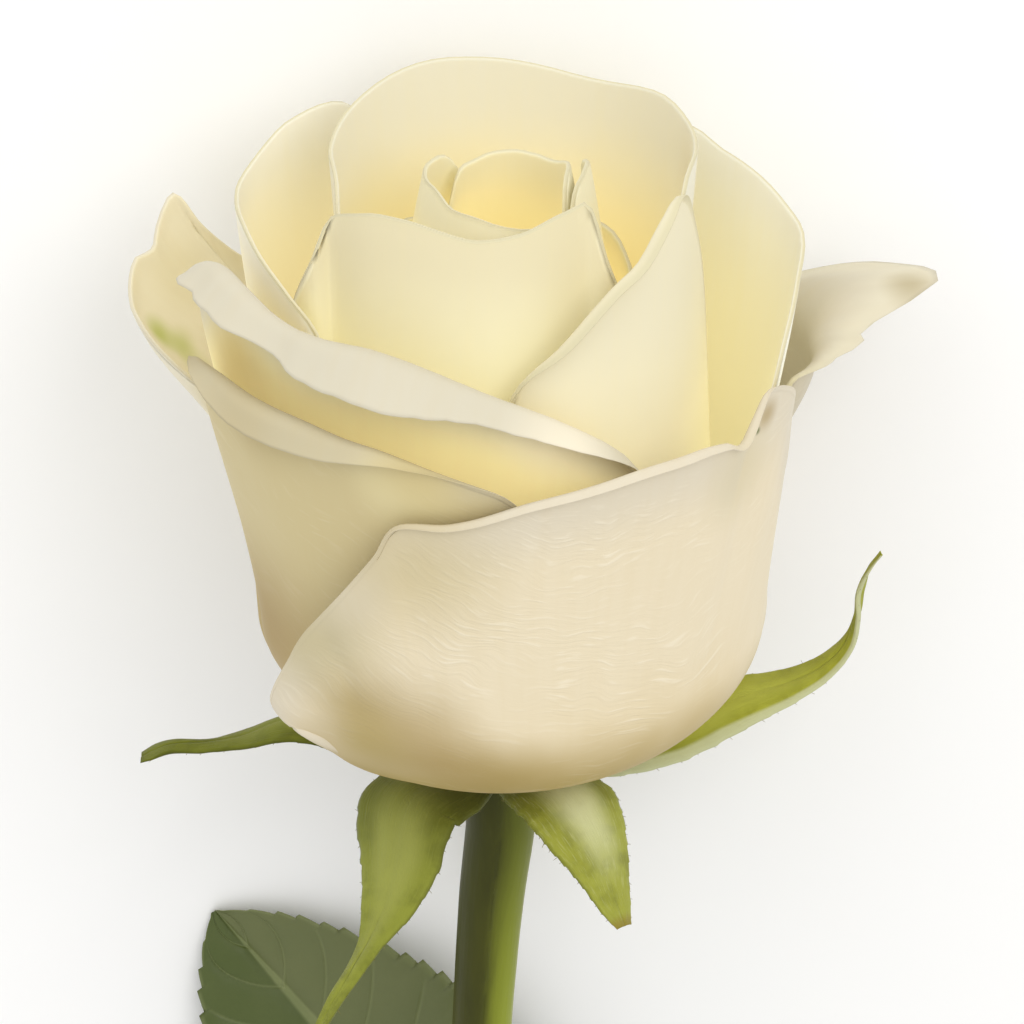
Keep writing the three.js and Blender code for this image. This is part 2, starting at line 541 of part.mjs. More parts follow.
const stemAt = curve(STEM);
const prickles = PRICKLES.map(([share, angle]) => {
  const [x, y, z, radius] = stemAt(share);
  const out = new THREE.Vector3(Math.sin(rad(angle)), 0, Math.cos(rad(angle)));
  const along = new THREE.Vector3(0, 1, 0);
  const right = out.clone().cross(along);
  const foot = new THREE.Vector3(x, y, z).addScaledVector(out, radius - 0.8);
  return rings([[0, 2.1, 0], [1.6, 1.3, -0.4], [4.2, 0.35, -2]].map(([reach, size, lean]) => ({
    centre: foot.clone().addScaledVector(out, reach).addScaledVector(along, lean),
    radius: size, right: right.clone().multiplyScalar(0.6), front: along,
  })), 8);
});
const stemBody = stalk(STEM, 18, 14);
bloom.add(node('stem', join([stemBody, ...prickles]), colour('stem_green', 0x6f7d2c, 0.5)));

const rose = new THREE.Group();
rose.name = 'rose';
rose.position.set(...SET_DOWN);
rose.add(bloom);
for (const [name, leaf] of Object.entries(LEAVES)) {
  const [x, y, z, heading, length, width] = leaf.stipule;
  const blades = leaf.leaflets.map((blade) => leaflet(blade, TEETH));
  const parts = [stalk(leaf.stalk, 10, 8), ...blades,
    leaflet([x, y, z, heading, length, width, z - 2.4, z - 4.4], 3)];
  rose.add(node(name, join(parts), colour(`${name}_green`, 0x4c6334, 0.5)));
}

export default rose;
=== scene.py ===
# %% [markdown]
# # A cut white rose, dressed
# The solids of this rose are plain faceted sheets: they give every petal, sepal and leaf its place.
# Here each one gets a finer piece of the same form, and then a skin like a real rose's, with
# painted light and shade in places.
# The first cell loads the solids as a fixed frame, which no later cell moves.

# %% Load the fixed frame
import math
import bmesh
import bpy
from mathutils import Matrix, Vector, noise


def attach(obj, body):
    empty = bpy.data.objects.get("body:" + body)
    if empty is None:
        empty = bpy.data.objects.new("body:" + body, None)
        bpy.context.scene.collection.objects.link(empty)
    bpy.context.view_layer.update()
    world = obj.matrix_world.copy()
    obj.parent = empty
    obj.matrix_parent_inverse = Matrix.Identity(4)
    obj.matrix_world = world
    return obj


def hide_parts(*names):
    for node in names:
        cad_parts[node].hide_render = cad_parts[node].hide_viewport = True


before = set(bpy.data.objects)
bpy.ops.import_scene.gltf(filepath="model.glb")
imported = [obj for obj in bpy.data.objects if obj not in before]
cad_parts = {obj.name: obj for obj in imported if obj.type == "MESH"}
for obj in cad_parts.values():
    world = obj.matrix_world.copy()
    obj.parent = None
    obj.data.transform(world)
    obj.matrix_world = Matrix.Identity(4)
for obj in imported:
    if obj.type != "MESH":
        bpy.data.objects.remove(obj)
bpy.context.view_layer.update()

# %% [markdown]
# ## Where the bloom stands
# A florist describes a bloom along its own axis: how high a petal stands, how far from the axis it
# reaches, and on which side. So the petals are drawn in the bloom's frame, in millimetres, with x
# to the right, y up the axis and z to the front. One matrix then lays the bloom on the table.

# %% Set the bloom's frame
MM = 0.001
BLOOM_AT = Vector((-17.16, 86.75, 23.0))
BLOOM_TILT = math.radians(4.9)
LEAVES_AT = Vector((-17.16, -1.25, 0.0))
FROM_BLOOM = (Matrix.Scale(MM, 4) @ Matrix.Translation(BLOOM_AT)
              @ Matrix.Rotation(BLOOM_TILT, 4, "X"))
FROM_LEAVES = Matrix.Scale(MM, 4) @ Matrix.Translation(LEAVES_AT)
print("foot of the bloom in metres:", [round(n, 4) for n in FROM_BLOOM @ Vector((0, 0, 0))])

# %% [markdown]
# ## Smooth lines through a few measures
# A petal's rim is known at a dozen places. A maker joins them with a bent strip, which passes
# through every mark without a corner. The same helper draws rims, sepals, stalks and the stem.

# %% Draw smooth lines
def mix(a, b, t):
    return a + (b - a) * t


def ease(t):
    t = min(1.0, max(0.0, t))
    return t * t * (3 - 2 * t)


def bent_strip(rows, weight=1.0):
    """Reads a smooth line through rows of numbers by its share of the length from 0 to 1."""
    rows = [tuple(float(n) for n in row) for row in rows]
    at = [0.0]
    for before, after in zip(rows, rows[1:]):
        step = [(b - a) * (weight if n == 0 else 1) for n, (a, b) in
                enumerate(zip(before[:3], after[:3]))]
        at.append(at[-1] + math.sqrt(sum(d * d for d in step)))

    def slope(i, n):
        low, high = max(0, i - 1), min(len(rows) - 1, i + 1)
        return (rows[high][n] - rows[low][n]) / (at[high] - at[low])

    def read(share):
        s = min(1.0, max(0.0, share)) * at[-1]
        i = 0
        while i < len(rows) - 2 and s > at[i + 1]:
            i += 1
        gap = at[i + 1] - at[i]
        t = (s - at[i]) / gap
        a, b = 2 * t**3 - 3 * t**2 + 1, t**3 - 2 * t**2 + t
        c, d = 3 * t**2 - 2 * t**3, t**3 - t**2
        return [a * rows[i][n] + b * gap * slope(i, n) + c * rows[i + 1][n]
                + d * gap * slope(i + 1, n) for n in range(len(rows[0]))]
    return read


print("half way along a strip:", bent_strip([(0, 0, 0), (1, 1, 0), (2, 0, 0)])(0.5))

# %% [markdown]
# ## One way to make every thin piece
# Petals, sepals and leaflets are all sheets that grew from a foot to an edge. They could be drawn
# point by point, but a sheet of clay is bent, not built: a flat grid is laid out first, keeps its
# two directions as the piece's own map, and each of its points is then carried to its place.
# The sheet gets its thickness last, and a vertex group makes that thickness fade out at the rim.
# A tube is the same grid with its two long sides welded and its ends filled.

# %% Bend a flat grid into a piece
THIN_RIM = 0.15
# The thickness is full a 9th of the way in from the rim, and a 25th in from the sides.
RIM_FADE = 9
SIDE_FADE = 25
WELD = 1e-4


def bend_grid(bm, columns, rows, place, tube=False):
    """Lays a flat grid in the mesh and carries each point (u, t), from 0 to 1, to place(u, t)."""
    chart = bm.loops.layers.uv.verify()
    body = bm.verts.layers.deform.verify()
    grid = bmesh.ops.create_grid(bm, x_segments=columns, y_segments=rows, size=0.5)["verts"]
    spots = {v: (v.co.x + 0.5, v.co.y + 0.5) for v in grid}
    for face in {f for v in grid for f in v.link_faces}:
        for loop in face.loops:
            loop[chart].uv = spots[loop.vert]
    for v, (u, t) in spots.items():
        v.co = place(u, t)
        inside = ease(min((1 - t) * RIM_FADE, u * SIDE_FADE, (1 - u) * SIDE_FADE))
        v[body][0] = 1 - (1 - THIN_RIM) * (1 - inside)
    if tube:
        bmesh.ops.remove_doubles(bm, verts=grid, dist=WELD)
        edges = [e for v in grid if v.is_valid for e in v.link_edges if e.is_boundary]
        bmesh.ops.holes_fill(bm, edges=list(set(edges)), sides=columns + 2)
    return [v for v in grid if v.is_valid]


def finished(bm, name, matrix, material, stands_for=(), thick=0.0):
    """Turns the mesh into an object of the rose, which rides with its solids."""
    bm.transform(matrix)
    if not thick:
        bmesh.ops.recalc_face_normals(bm, faces=bm.faces)
    mesh = bpy.data.meshes.new(name)
    bm.to_mesh(mesh)
    bm.free()
    mesh.polygons.foreach_set("use_smooth", [True] * len(mesh.polygons))
    mesh.materials.append(material)
    piece = bpy.data.objects.new(name, mesh)
    bpy.context.scene.collection.objects.link(piece)
    if thick:
        skin = piece.modifiers.new("skin", "SOLIDIFY")
        skin.thickness = thick * MM
        skin.offset = 0
        skin.vertex_group = piece.vertex_groups.new(name="body").name
    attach(piece, "root")
    if stands_for:
        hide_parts(*stands_for)
    return piece


print("a sheet of 4 by 2 cells has", len(bend_grid(bmesh.new(), 4, 2, lambda u, t: (u, t, 0))),
      "points")

# %% [markdown]
# ## A way to write finishes
# A finish is a chain of small nodes. Drawn by hand it is easy to follow; in a script it turns into
# lists of links. Here a socket is wrapped so that plain sums make the Math nodes, and one method
# makes every other node from its type, its settings and its values.

# %% Write shader sums as Python
class Socket:
    """An output of a node that can stand in a sum."""

    def __init__(self, finish, plug):
        self.finish = finish
        self.plug = plug

    def sum(self, operation, *values):
        return self.finish.node("ShaderNodeMath", {"operation": operation},
                                dict(enumerate(values)))

    def __add__(self, other):
        return self.sum("ADD", self, other)

    def __sub__(self, other):
        return self.sum("SUBTRACT", self, other)

    def __rsub__(self, other):
        return self.sum("SUBTRACT", other, self)

    def __mul__(self, other):
        return self.sum("MULTIPLY", self, other)

    def __pow__(self, other):
        return self.sum("POWER", self, other)

    def __abs__(self):
        return self.sum("ABSOLUTE", self)

    __radd__ = __add__
    __rmul__ = __mul__


class Finish:
    """A material whose shader takes constants at once and sockets as they are made."""

    def __init__(self, name, **constants):
        self.material = bpy.data.materials.new(name)
        self.material.use_nodes = True
        self.tree = self.material.node_tree
        self.shader = self.tree.nodes["Principled BSDF"]
        for label, value in constants.items():
            self.shader.inputs[label.replace("_", " ")].default_value = value

    def node(self, kind, settings=None, values=None, output=0):
        made = self.tree.nodes.new(kind)
        for label, value in (settings or {}).items():
            setattr(made, label, value)
        for label, value in (values or {}).items():
            if isinstance(value, Socket):
                self.tree.links.new(value.plug, made.inputs[label])
            else:
                made.inputs[label].default_value = value
        return Socket(self, made.outputs[output])

    def feed(self, label, value):
        self.tree.links.new(value.plug, self.shader.inputs[label])

    def blend(self, factor, first, second):
        """The first colour where the factor is 0, the second where it is 1."""
        return self.node("ShaderNodeMix", {"data_type": "RGBA"},
                         {0: factor, 6: first, 7: second}, 2)

    def step(self, value, low, high):
        """0 below low, 1 above high, and a soft climb between them; low may be the larger."""
        return self.node("ShaderNodeMapRange", {"interpolation_type": "SMOOTHSTEP"},
                         {"Value": value, "From Min": low, "From Max": high})

    def cloud(self, vector, stretch, scale, detail=2.0):
        """Soft noise, stretched along the axes of the vector that it reads."""
        laid = self.node("ShaderNodeMapping", None, {"Vector": vector, "Scale": stretch})
        return self.node("ShaderNodeTexNoise", None,
                         {"Vector": laid, "Scale": scale, "Detail": detail, "Roughness": 0.55})

    def chart(self):
        """The piece's own map: u across it and t from its foot to its edge."""
        uv = self.node("ShaderNodeTexCoord", output="UV")
        return uv, *self.parts(uv)[:2]

    def parts(self, vector):
        """The x, y and z of a vector."""
        split = self.node("ShaderNodeSeparateXYZ", None, {"Vector": vector}).plug.node
        return [Socket(self, plug) for plug in split.outputs]

    def relief(self, height, distance):
        """Raises the skin by up to the distance in millimetres, where the height is 1."""
        self.feed("Normal", self.node("ShaderNodeBump", None, {
            "Height": height, "Distance": distance * MM, "Strength": 1.0}))


def tone(code):
    """A colour as it looks on a paint card, such as 0xF3ECD2, in the shader's linear numbers."""
    parts = [(code >> shift & 255) / 255 for shift in (16, 8, 0)]
    return tuple(c / 12.92 if c <= 0.04045 else ((c + 0.055) / 1.055) ** 2.4
                 for c in parts) + (1.0,)


print("ivory in linear numbers:", [round(c, 3) for c in tone(0xF3ECD2)])

# %% [markdown]
# ## The form of a petal
# Rose petals sit in the bloom like spoons in a bowl. Each follows one shell of the bowl from its
# claw up, leaves it near its rim, and ends in a lip that rolls outward. Cloth could be draped over
# the bowl, but the photograph fixes every rim, so rays are run from the claw to the rim instead.
# A row of a rim is its angle round the axis from the front, its distance from the axis (0 keeps the
# shell's own), its height, and the length and the turn of its lip in millimetres and degrees.
# A row that gives no lip takes the petal's own.

# %% Follow the shells of the bowl
BELLY_HEIGHT = 16.0
BOWL_DEPTH = 15.1
CLAW_RADIUS = 4.3
PETAL_THICK = 0.42
BODY_SHARE = 0.8
ABOVE_TABLE = PETAL_THICK / 2 + 0.02
# A degree round the bloom is about so many millimetres along a rim.
RIM_DEGREE = 0.42


def bowl(belly, drop, flare):
    """One shell's side line, read by the length along it, with two helpers to enter it."""
    depth = BOWL_DEPTH - drop
    quarter = math.pi / 2 * math.sqrt((belly * belly + depth * depth) / 2)
    start = quarter * math.asin(CLAW_RADIUS / belly) / (math.pi / 2)

    def length_to(height):
        if height >= BELLY_HEIGHT:
            return quarter + height - BELLY_HEIGHT
        return quarter * math.acos((BELLY_HEIGHT - height) / depth) / (math.pi / 2)

    def at(length):
        if length < quarter:
            turn = length / quarter * (math.pi / 2)
            return belly * math.sin(turn), BELLY_HEIGHT - depth * math.cos(turn)
        up = length - quarter
        return belly + flare * (up / 30) ** 1.5, BELLY_HEIGHT + up
    return start, length_to, at


def above_table(p):
    """Lifts a point of the bloom's frame that lies lower over the table than half a petal."""
    rise = Vector((0, math.sin(BLOOM_TILT), math.cos(BLOOM_TILT)))
    return p + rise * max(0, ABOVE_TABLE - BLOOM_AT.z - p.dot(rise))


def wander(x, seed, amount):
    """A small smooth change that is the same on every run."""
    return amount * noise.noise(Vector((x, seed * 7.3, 0.5)))


def petal_form(seed, belly, drop, flare, claw, rim, lip=(0.35, 30), start=0.35, spread=0.5,
               wave=0.3, ripple=0.35, dents=(), bites=(), laps=(), nick=0.0):
    """Gives place(u, t): t climbs the petal up to BODY_SHARE, and then the lip rolls outward.

    A dent, at u and v with a width and a height, pushes the sheet in or out by its depth. A bite,
    at u with a width, lowers the rim by its depth, and a lap adds its length to the lip there.
    """
    begin, length_to, at = bowl(belly, drop, flare)
    rim = [(row[0], row[1] or at(length_to(row[2]))[0], row[2],
            *(row[3:] or lip)) for row in rim]
    rim_at = bent_strip(rim, RIM_DEGREE)

    def body(u, v):
        rim_angle, rim_radius, rim_height, _, _ = rim_at(u)
        rim_height += wander(u * 23, seed, ripple) * ease(u * 8) * ease(8 - u * 8)
        for at_u, wide, deep in bites:
            rim_height -= deep * ease(1 - abs(u - at_u) / wide)
        end = length_to(rim_height)
        radius, height = at(mix(begin, end, v))
        loose = ease((v - start) / (1 - start)) ** 1.3
        radius += (rim_radius - at(end)[0]) * loose
        radius += wander(u * 9 + v, seed + 5, wave) * ease((v - 0.7) / 0.3)
        for du, dv, wide, tall, deep in dents:
            radius += deep * math.exp(-((u - du) / wide) ** 2 - ((v - dv) / tall) ** 2)
        angle = math.radians(mix(claw, rim_angle, mix(spread, 1, v)))
        return Vector((radius * math.sin(angle), height, radius * math.cos(angle)))

    frames = {}

    def frame_at(u):
        if u not in frames:
            top = body(u, 1)
            along = (top - body(u, 0.96)).normalized()
            aside = body(min(1, u + 0.02), 1) - body(max(0, u - 0.02), 1)
            frames[u] = top, along, aside.cross(along).normalized()
        return frames[u]

    def place(u, t):
        if t <= BODY_SHARE:
            return above_table(body(u, t / BODY_SHARE))
        top, along, out = frame_at(u)
        length, turn = rim_at(u)[3:]
        length *= 1 + nick * noise.noise(Vector((u * 60, seed, 2))) + wander(u * 18, seed, nick)
        for at_u, wide, more in laps:
            length += more * ease(1 - abs(u - at_u) / wide)
        turn = math.radians(max(turn, 4))
        s = (t - BODY_SHARE) / (1 - BODY_SHARE) * length
        bent = min(s, length / 2)
        swing = turn * bent / (length / 2)
        reach = length / (2 * turn)
        ahead = reach * math.sin(swing) + (s - bent) * math.cos(turn)
        outward = reach * (1 - math.cos(swing)) + (s - bent) * math.sin(turn)
        return above_table(top + along * ahead + out * outward)
    return place


print("a shell 24.6 mm wide starts", round(bowl(24.6, 0, 3)[0], 2), "mm from the axis")

# %% Write down the petals
PETALS = {
    "petal_front": dict(belly=24.6, drop=0, claw=14, flare=3, lip=(0.9, 10), rim=[
        (-14, 0, 5.4), (-34, 0, 10.4), (-48, 27, 14.6), (-42, 27.2, 21.5, 0.9, 20),
        (-31, 27, 29.3, 1, 30), (-24, 27, 34.2, 1.2, 50), (-19.5, 27, 38, 1.2, 80),
        (-9, 27, 38.6, 1.6, 100), (6, 27.1, 41, 1.7, 110), (23, 27.3, 42.6, 1.7, 110),
        (40, 27.4, 42.8, 1.6, 100), (53, 27.5, 41.9, 1.2, 80), (57, 27.6, 43.2, 1, 50),
        (61, 27.5, 44.9, 0.9, 40), (66, 27.6, 44.2, 0.9, 30), (72, 27.7, 42, 0.9, 20),
        (78, 26.9, 37.6, 0.9, 15), (85, 26, 31, 0.9, 15), (92, 24.9, 24), (88, 0, 13),
        (77, 0, 8.6), (64, 0, 6)]),
    "petal_far_left": dict(
        belly=23.7, drop=1.3, claw=-150, flare=1.4, start=0.72, spread=0.14, rim=[
        (-161, 0, 6.6), (-161.5, 0, 9.8), (-162, 0, 14), (-163, 0, 26), (-152, 26, 36),
        (-138, 27.4, 38.6), (-130, 28.8, 40.4), (-123, 29.6, 43.4), (-117, 30.8, 47.4),
        (-114, 32.6, 51), (-110, 33.6, 49.2), (-107, 33.7, 47), (-104.5, 34.6, 46.6),
        (-101, 34.7, 45), (-96, 33.9, 44), (-90, 32, 42.8), (-86, 29, 40.4), (-89, 26.4, 37),
        (-98, 0, 29), (-112.5, 0, 16), (-119, 0, 10.6), (-126, 0, 6.6)]),
    "petal_far_right": dict(
        belly=23.3, drop=1.3, claw=112, flare=1.4, start=0.66, spread=0.16, lip=(0.9, 10), rim=[
        (102, 0, 6.6), (100.5, 0, 10.6), (98, 0, 16), (94.6, 24, 28, 0.9, 20),
        (92, 26.6, 37.8, 1.2, 50), (93.4, 28.2, 38.7, 2, 62), (97, 29.2, 39, 4.2, 80),
        (101, 29.3, 39, 7.8, 82), (105.5, 29.3, 39, 15.4, 82), (111, 29, 39, 12.4, 80),
        (119, 28.2, 38.4, 5.6, 66), (129, 26.1, 36, 1.2, 30), (139, 24.1, 26, 0.9, 20),
        (136, 0, 13), (131, 0, 9.2), (126, 0, 6.6)]),
    "petal_left": dict(belly=22.25, drop=2.5, claw=-42, flare=3, lip=(0.9, 10), rim=[
        (-66, 0, 8), (-74, 0, 11), (-81, 0, 15), (-84, 23, 26, 0.9, 15), (-79, 26, 37, 0.9, 20),
        (-73, 28.4, 45, 1.2, 40), (-64, 28.2, 46, 2.8, 120), (-55, 27.8, 46, 3.8, 150),
        (-41, 26.8, 45.4, 3.8, 150), (-23, 26.4, 44.6, 2, 120), (-10, 26.2, 42.8, 0.9, 60),
        (2, 25.7, 40.2, 0.9, 30), (12, 24.8, 32, 0.9, 15), (10, 0, 18), (3, 0, 12.4),
        (-6, 0, 8)]),
    "petal_behind": dict(belly=25.4, drop=0, claw=168, flare=2.6, rim=[
        (144, 0, 6), (136, 0, 9.4), (128, 0, 14), (124, 0, 24), (131, 27.2, 35), (146, 27.8, 42),
        (166, 28.2, 45), (188, 28, 44), (203, 27.6, 38), (211, 26.6, 28), (207, 0, 14),
        (200, 0, 9.4), (192, 0, 6)]),
    "petal_rolled": dict(belly=20.7, drop=3.95, claw=-28, flare=2.4, lip=(0.9, 10), rim=[
        (-66, 0, 9), (-76, 0, 12), (-84, 0, 16), (-91, 22.3, 30, 0.9, 20),
        (-87, 25.2, 42, 0.9, 20), (-82, 27.4, 49.6, 0.9, 40), (-77, 27, 52.8, 3.6, 90),
        (-71, 26, 54.4, 5.6, 115), (-63, 25.4, 54.2, 5.4, 120), (-53, 24.5, 52.8, 4.6, 122),
        (-42, 23.5, 52, 6.2, 125), (-28, 22.3, 51.5, 7.2, 122), (-8, 21.4, 49.2, 4.8, 120),
        (14, 21.6, 45.6, 3.8, 115), (31, 22, 40, 2.8, 80), (40, 0, 30, 0.9, 20), (34, 0, 16),
        (24, 0, 12), (12, 0, 9)]),
    "petal_front_right": dict(belly=19.5, drop=5.2, claw=44, flare=-0.6, lip=(0.9, 10), rim=[
        (14, 0, 10), (4, 0, 13.4), (-3, 0, 18), (-7, 0, 32, 0.9, 20), (3, 18.9, 46.6, 1.2, 60),
        (17, 18.8, 51.9, 1.8, 100), (32, 18.7, 56.6, 1.8, 100), (40, 19, 58.4, 1.8, 100),
        (48, 19, 61.2, 1.6, 90), (57, 18.6, 62.4, 1.2, 60), (70, 18, 59, 0.9, 30),
        (82, 18.4, 50, 0.9, 20), (91, 0, 36, 0.9, 15), (88, 0, 20), (81, 0, 14.2), (72, 0, 10)]),
    "petal_right": dict(belly=21.75, drop=2.8, claw=106, flare=2.4, rim=[
        (82, 0, 8), (74, 0, 12), (66, 0, 17), (63, 0, 30), (68, 26, 41), (77, 26.8, 48.2),
        (86, 27, 50.4), (96, 27.7, 52.3), (106, 27.2, 52.9), (116, 26.2, 53.9), (126, 25.6, 54.5),
        (137, 25.6, 55), (148, 25, 50), (151, 0, 34), (144, 0, 17), (137, 0, 12), (128, 0, 8)]),
    "petal_left_back": dict(belly=19.5, drop=5.2, claw=-98, flare=1.6, rim=[
        (-130, 0, 11), (-142, 0, 15.6), (-150, 0, 22), (-156, 0, 38), (-153, 23.2, 50),
        (-143, 23.8, 57.4), (-126, 24, 57.9), (-117, 24.4, 56.9), (-106, 24.8, 55.7),
        (-97, 24.3, 55.8), (-85, 23.5, 56), (-74, 22.6, 55), (-62, 21.6, 53.4), (-52, 20.6, 50),
        (-45, 0, 38), (-50, 0, 22), (-58, 0, 15.6), (-70, 0, 11)]),
    "petal_below": dict(belly=22.2, drop=2.5, claw=198, flare=2.4, rim=[
        (174, 0, 8), (167, 0, 12), (160, 0, 17), (158, 0, 28), (163, 25, 42), (174, 26, 50),
        (190, 26.2, 53), (207, 26, 51), (219, 24.8, 44), (227, 0, 32), (222, 0, 17), (215, 0, 12),
        (208, 0, 8)]),
    "petal_inner_front": dict(belly=18, drop=6.6, claw=-14, flare=-1, rim=[
        (-58, 0, 13), (-71, 0, 17.6), (-80, 0, 24), (-84, 0, 38), (-72, 19.8, 49),
        (-63, 18.8, 56), (-63, 17, 59.6), (-47, 16.3, 61.5), (-34, 15.7, 62.1), (-17, 15.2, 61.4),
        (0, 14.8, 61), (15, 14, 61.6), (27, 13.5, 62.5), (35, 13.6, 62.8), (38, 15.2, 58),
        (44, 17, 50), (52, 0, 34), (46, 0, 20), (37, 0, 16), (26, 0, 13)]),
    "petal_back": dict(belly=16.6, drop=7.9, claw=178, flare=0.2, rim=[
        (126, 0, 13), (107, 0, 17.6), (92, 0, 24), (80, 0, 44), (76, 16.8, 58), (84, 17, 61),
        (102, 18, 61.4), (118, 19, 61.4), (132, 19.6, 61.8), (153, 20.2, 61), (169, 19.8, 61.6),
        (190, 19.3, 62.6), (210, 18.5, 62.8), (231, 17.6, 61.2), (249, 16.4, 60.2),
        (268, 15, 59.6), (283, 15.2, 57), (284, 15.8, 44), (270, 0, 24), (253, 0, 17.6),
        (232, 0, 13)]),
}
HEART = [
    dict(belly=13.8, drop=9.3, claw=190, flare=-2, rim=[
        (140, 0, 15), (96, 0, 28), (88, 0, 44), (120, 12.8, 49.4), (160, 13, 50.4),
        (200, 12.8, 50), (240, 12.6, 49.4), (266, 0, 42), (262, 0, 28), (230, 0, 15)]),
    dict(belly=12.6, drop=10, claw=-50, flare=-3, rim=[
        (-92, 0, 16), (-126, 0, 30), (-146, 9.2, 46), (-150, 7.8, 56), (-138, 7.3, 59),
        (-115, 7.1, 59.4), (-85, 6.8, 60), (-55, 7, 60.3), (-32, 8.4, 60.3), (-13, 9.8, 60.3),
        (2, 11.1, 60.2), (16, 11.6, 60), (30, 11.4, 60.4), (38, 0, 46), (32, 0, 28), (-4, 0, 16)]),
    dict(belly=12.6, drop=10.1, claw=86, flare=-3, rim=[
        (64, 0, 24), (54, 0, 36), (50, 9, 50), (56, 7.9, 59), (74, 7.8, 61), (96, 8, 60.6),
        (116, 8.4, 58), (118, 0, 42), (104, 0, 24)]),
    dict(belly=11, drop=10.9, claw=130, flare=-3, rim=[
        (98, 0, 18), (60, 0, 34), (50, 8, 50), (58, 6.9, 60), (72, 6.4, 61.2), (92, 6.2, 60.8),
        (124, 6.4, 59.4), (165, 6.4, 59), (200, 6.2, 58.4), (226, 5.8, 56.6), (232, 0, 36),
        (180, 0, 18)]),
    dict(belly=9.2, drop=11.8, claw=-60, flare=-4, rim=[
        (-100, 0, 20), (-144, 0, 36), (-150, 5, 46), (-138, 4.4, 50.4), (-90, 4.6, 51.6),
        (-40, 5.2, 52), (10, 5.4, 51.6), (34, 6, 46), (30, 0, 34), (-20, 0, 20)]),
    dict(belly=6.8, drop=12.6, claw=120, flare=-4, rim=[
        (80, 0, 24), (26, 0, 38), (22, 3.6, 46), (50, 2.9, 50), (110, 3, 50.6), (170, 3, 50),
        (216, 3, 48.4), (222, 0, 38), (168, 0, 24)]),
]
print("petals:", len(PETALS), "round a heart of", len(HEART))

# %% [markdown]
# ## The skin of a petal
# A white rose is not white paint. It turns from ivory at the rim to straw yellow at the foot, and
# light comes through the petals, warmer where they stand close together. Real depth in the skin
# (subsurface) would show this too, at many times the cost; a painted golden shade and a faint
# painted glow low in the inner petals stand for it here. The colour could be painted on a picture;
# a sum of soft steps along the petal's own map is enough, and stays sharp at any distance. Single
# stains, such as the green breath on a curled tip, are soft round spots at a place of the bloom;
# the same spots also paint shade on the front, left and rolled petals, and a few pale ones paint
# light. The outer petals met the weather: their fine wrinkles lie in wide arcs round a point above
# the bloom, and their lighter streaks are a painted highlight on the creases.

# %% Mix the petal skins
WRINKLE_CENTRE = (14.0, 75.0)
CREASES_AWAY = 2400
CREASES_ROUND = 16


def at_home(skin):
    """A point of the skin in the bloom's own frame, in metres, and its three parts."""
    spot = skin.node("ShaderNodeTexCoord", output="Object")
    home = skin.node("ShaderNodeMapping", {"vector_type": "TEXTURE"}, {
        "Vector": spot, "Location": BLOOM_AT * MM, "Rotation": (BLOOM_TILT, 0, 0)})
    return home, skin.parts(home)


def wrinkles(skin, home, x, height):
    """Fine short creases that run in arcs round the wrinkle centre, from about -0.5 to 0.5."""
    right = x - WRINKLE_CENTRE[0] * MM
    below = WRINKLE_CENTRE[1] * MM - height
    away = (right * right + below * below) ** 0.5
    away = away + (skin.cloud(home, (1, 1, 1), 90) - 0.5) * 0.007
    turn = right.sum("ARCTAN2", right, below)
    creases = skin.node("ShaderNodeCombineXYZ", None,
                        {0: away * CREASES_AWAY, 1: turn * CREASES_ROUND})
    fine = skin.node("ShaderNodeTexNoise", None, {"Vector": creases, "Scale": 1.0, "Detail": 2.0})
    return fine - 0.5


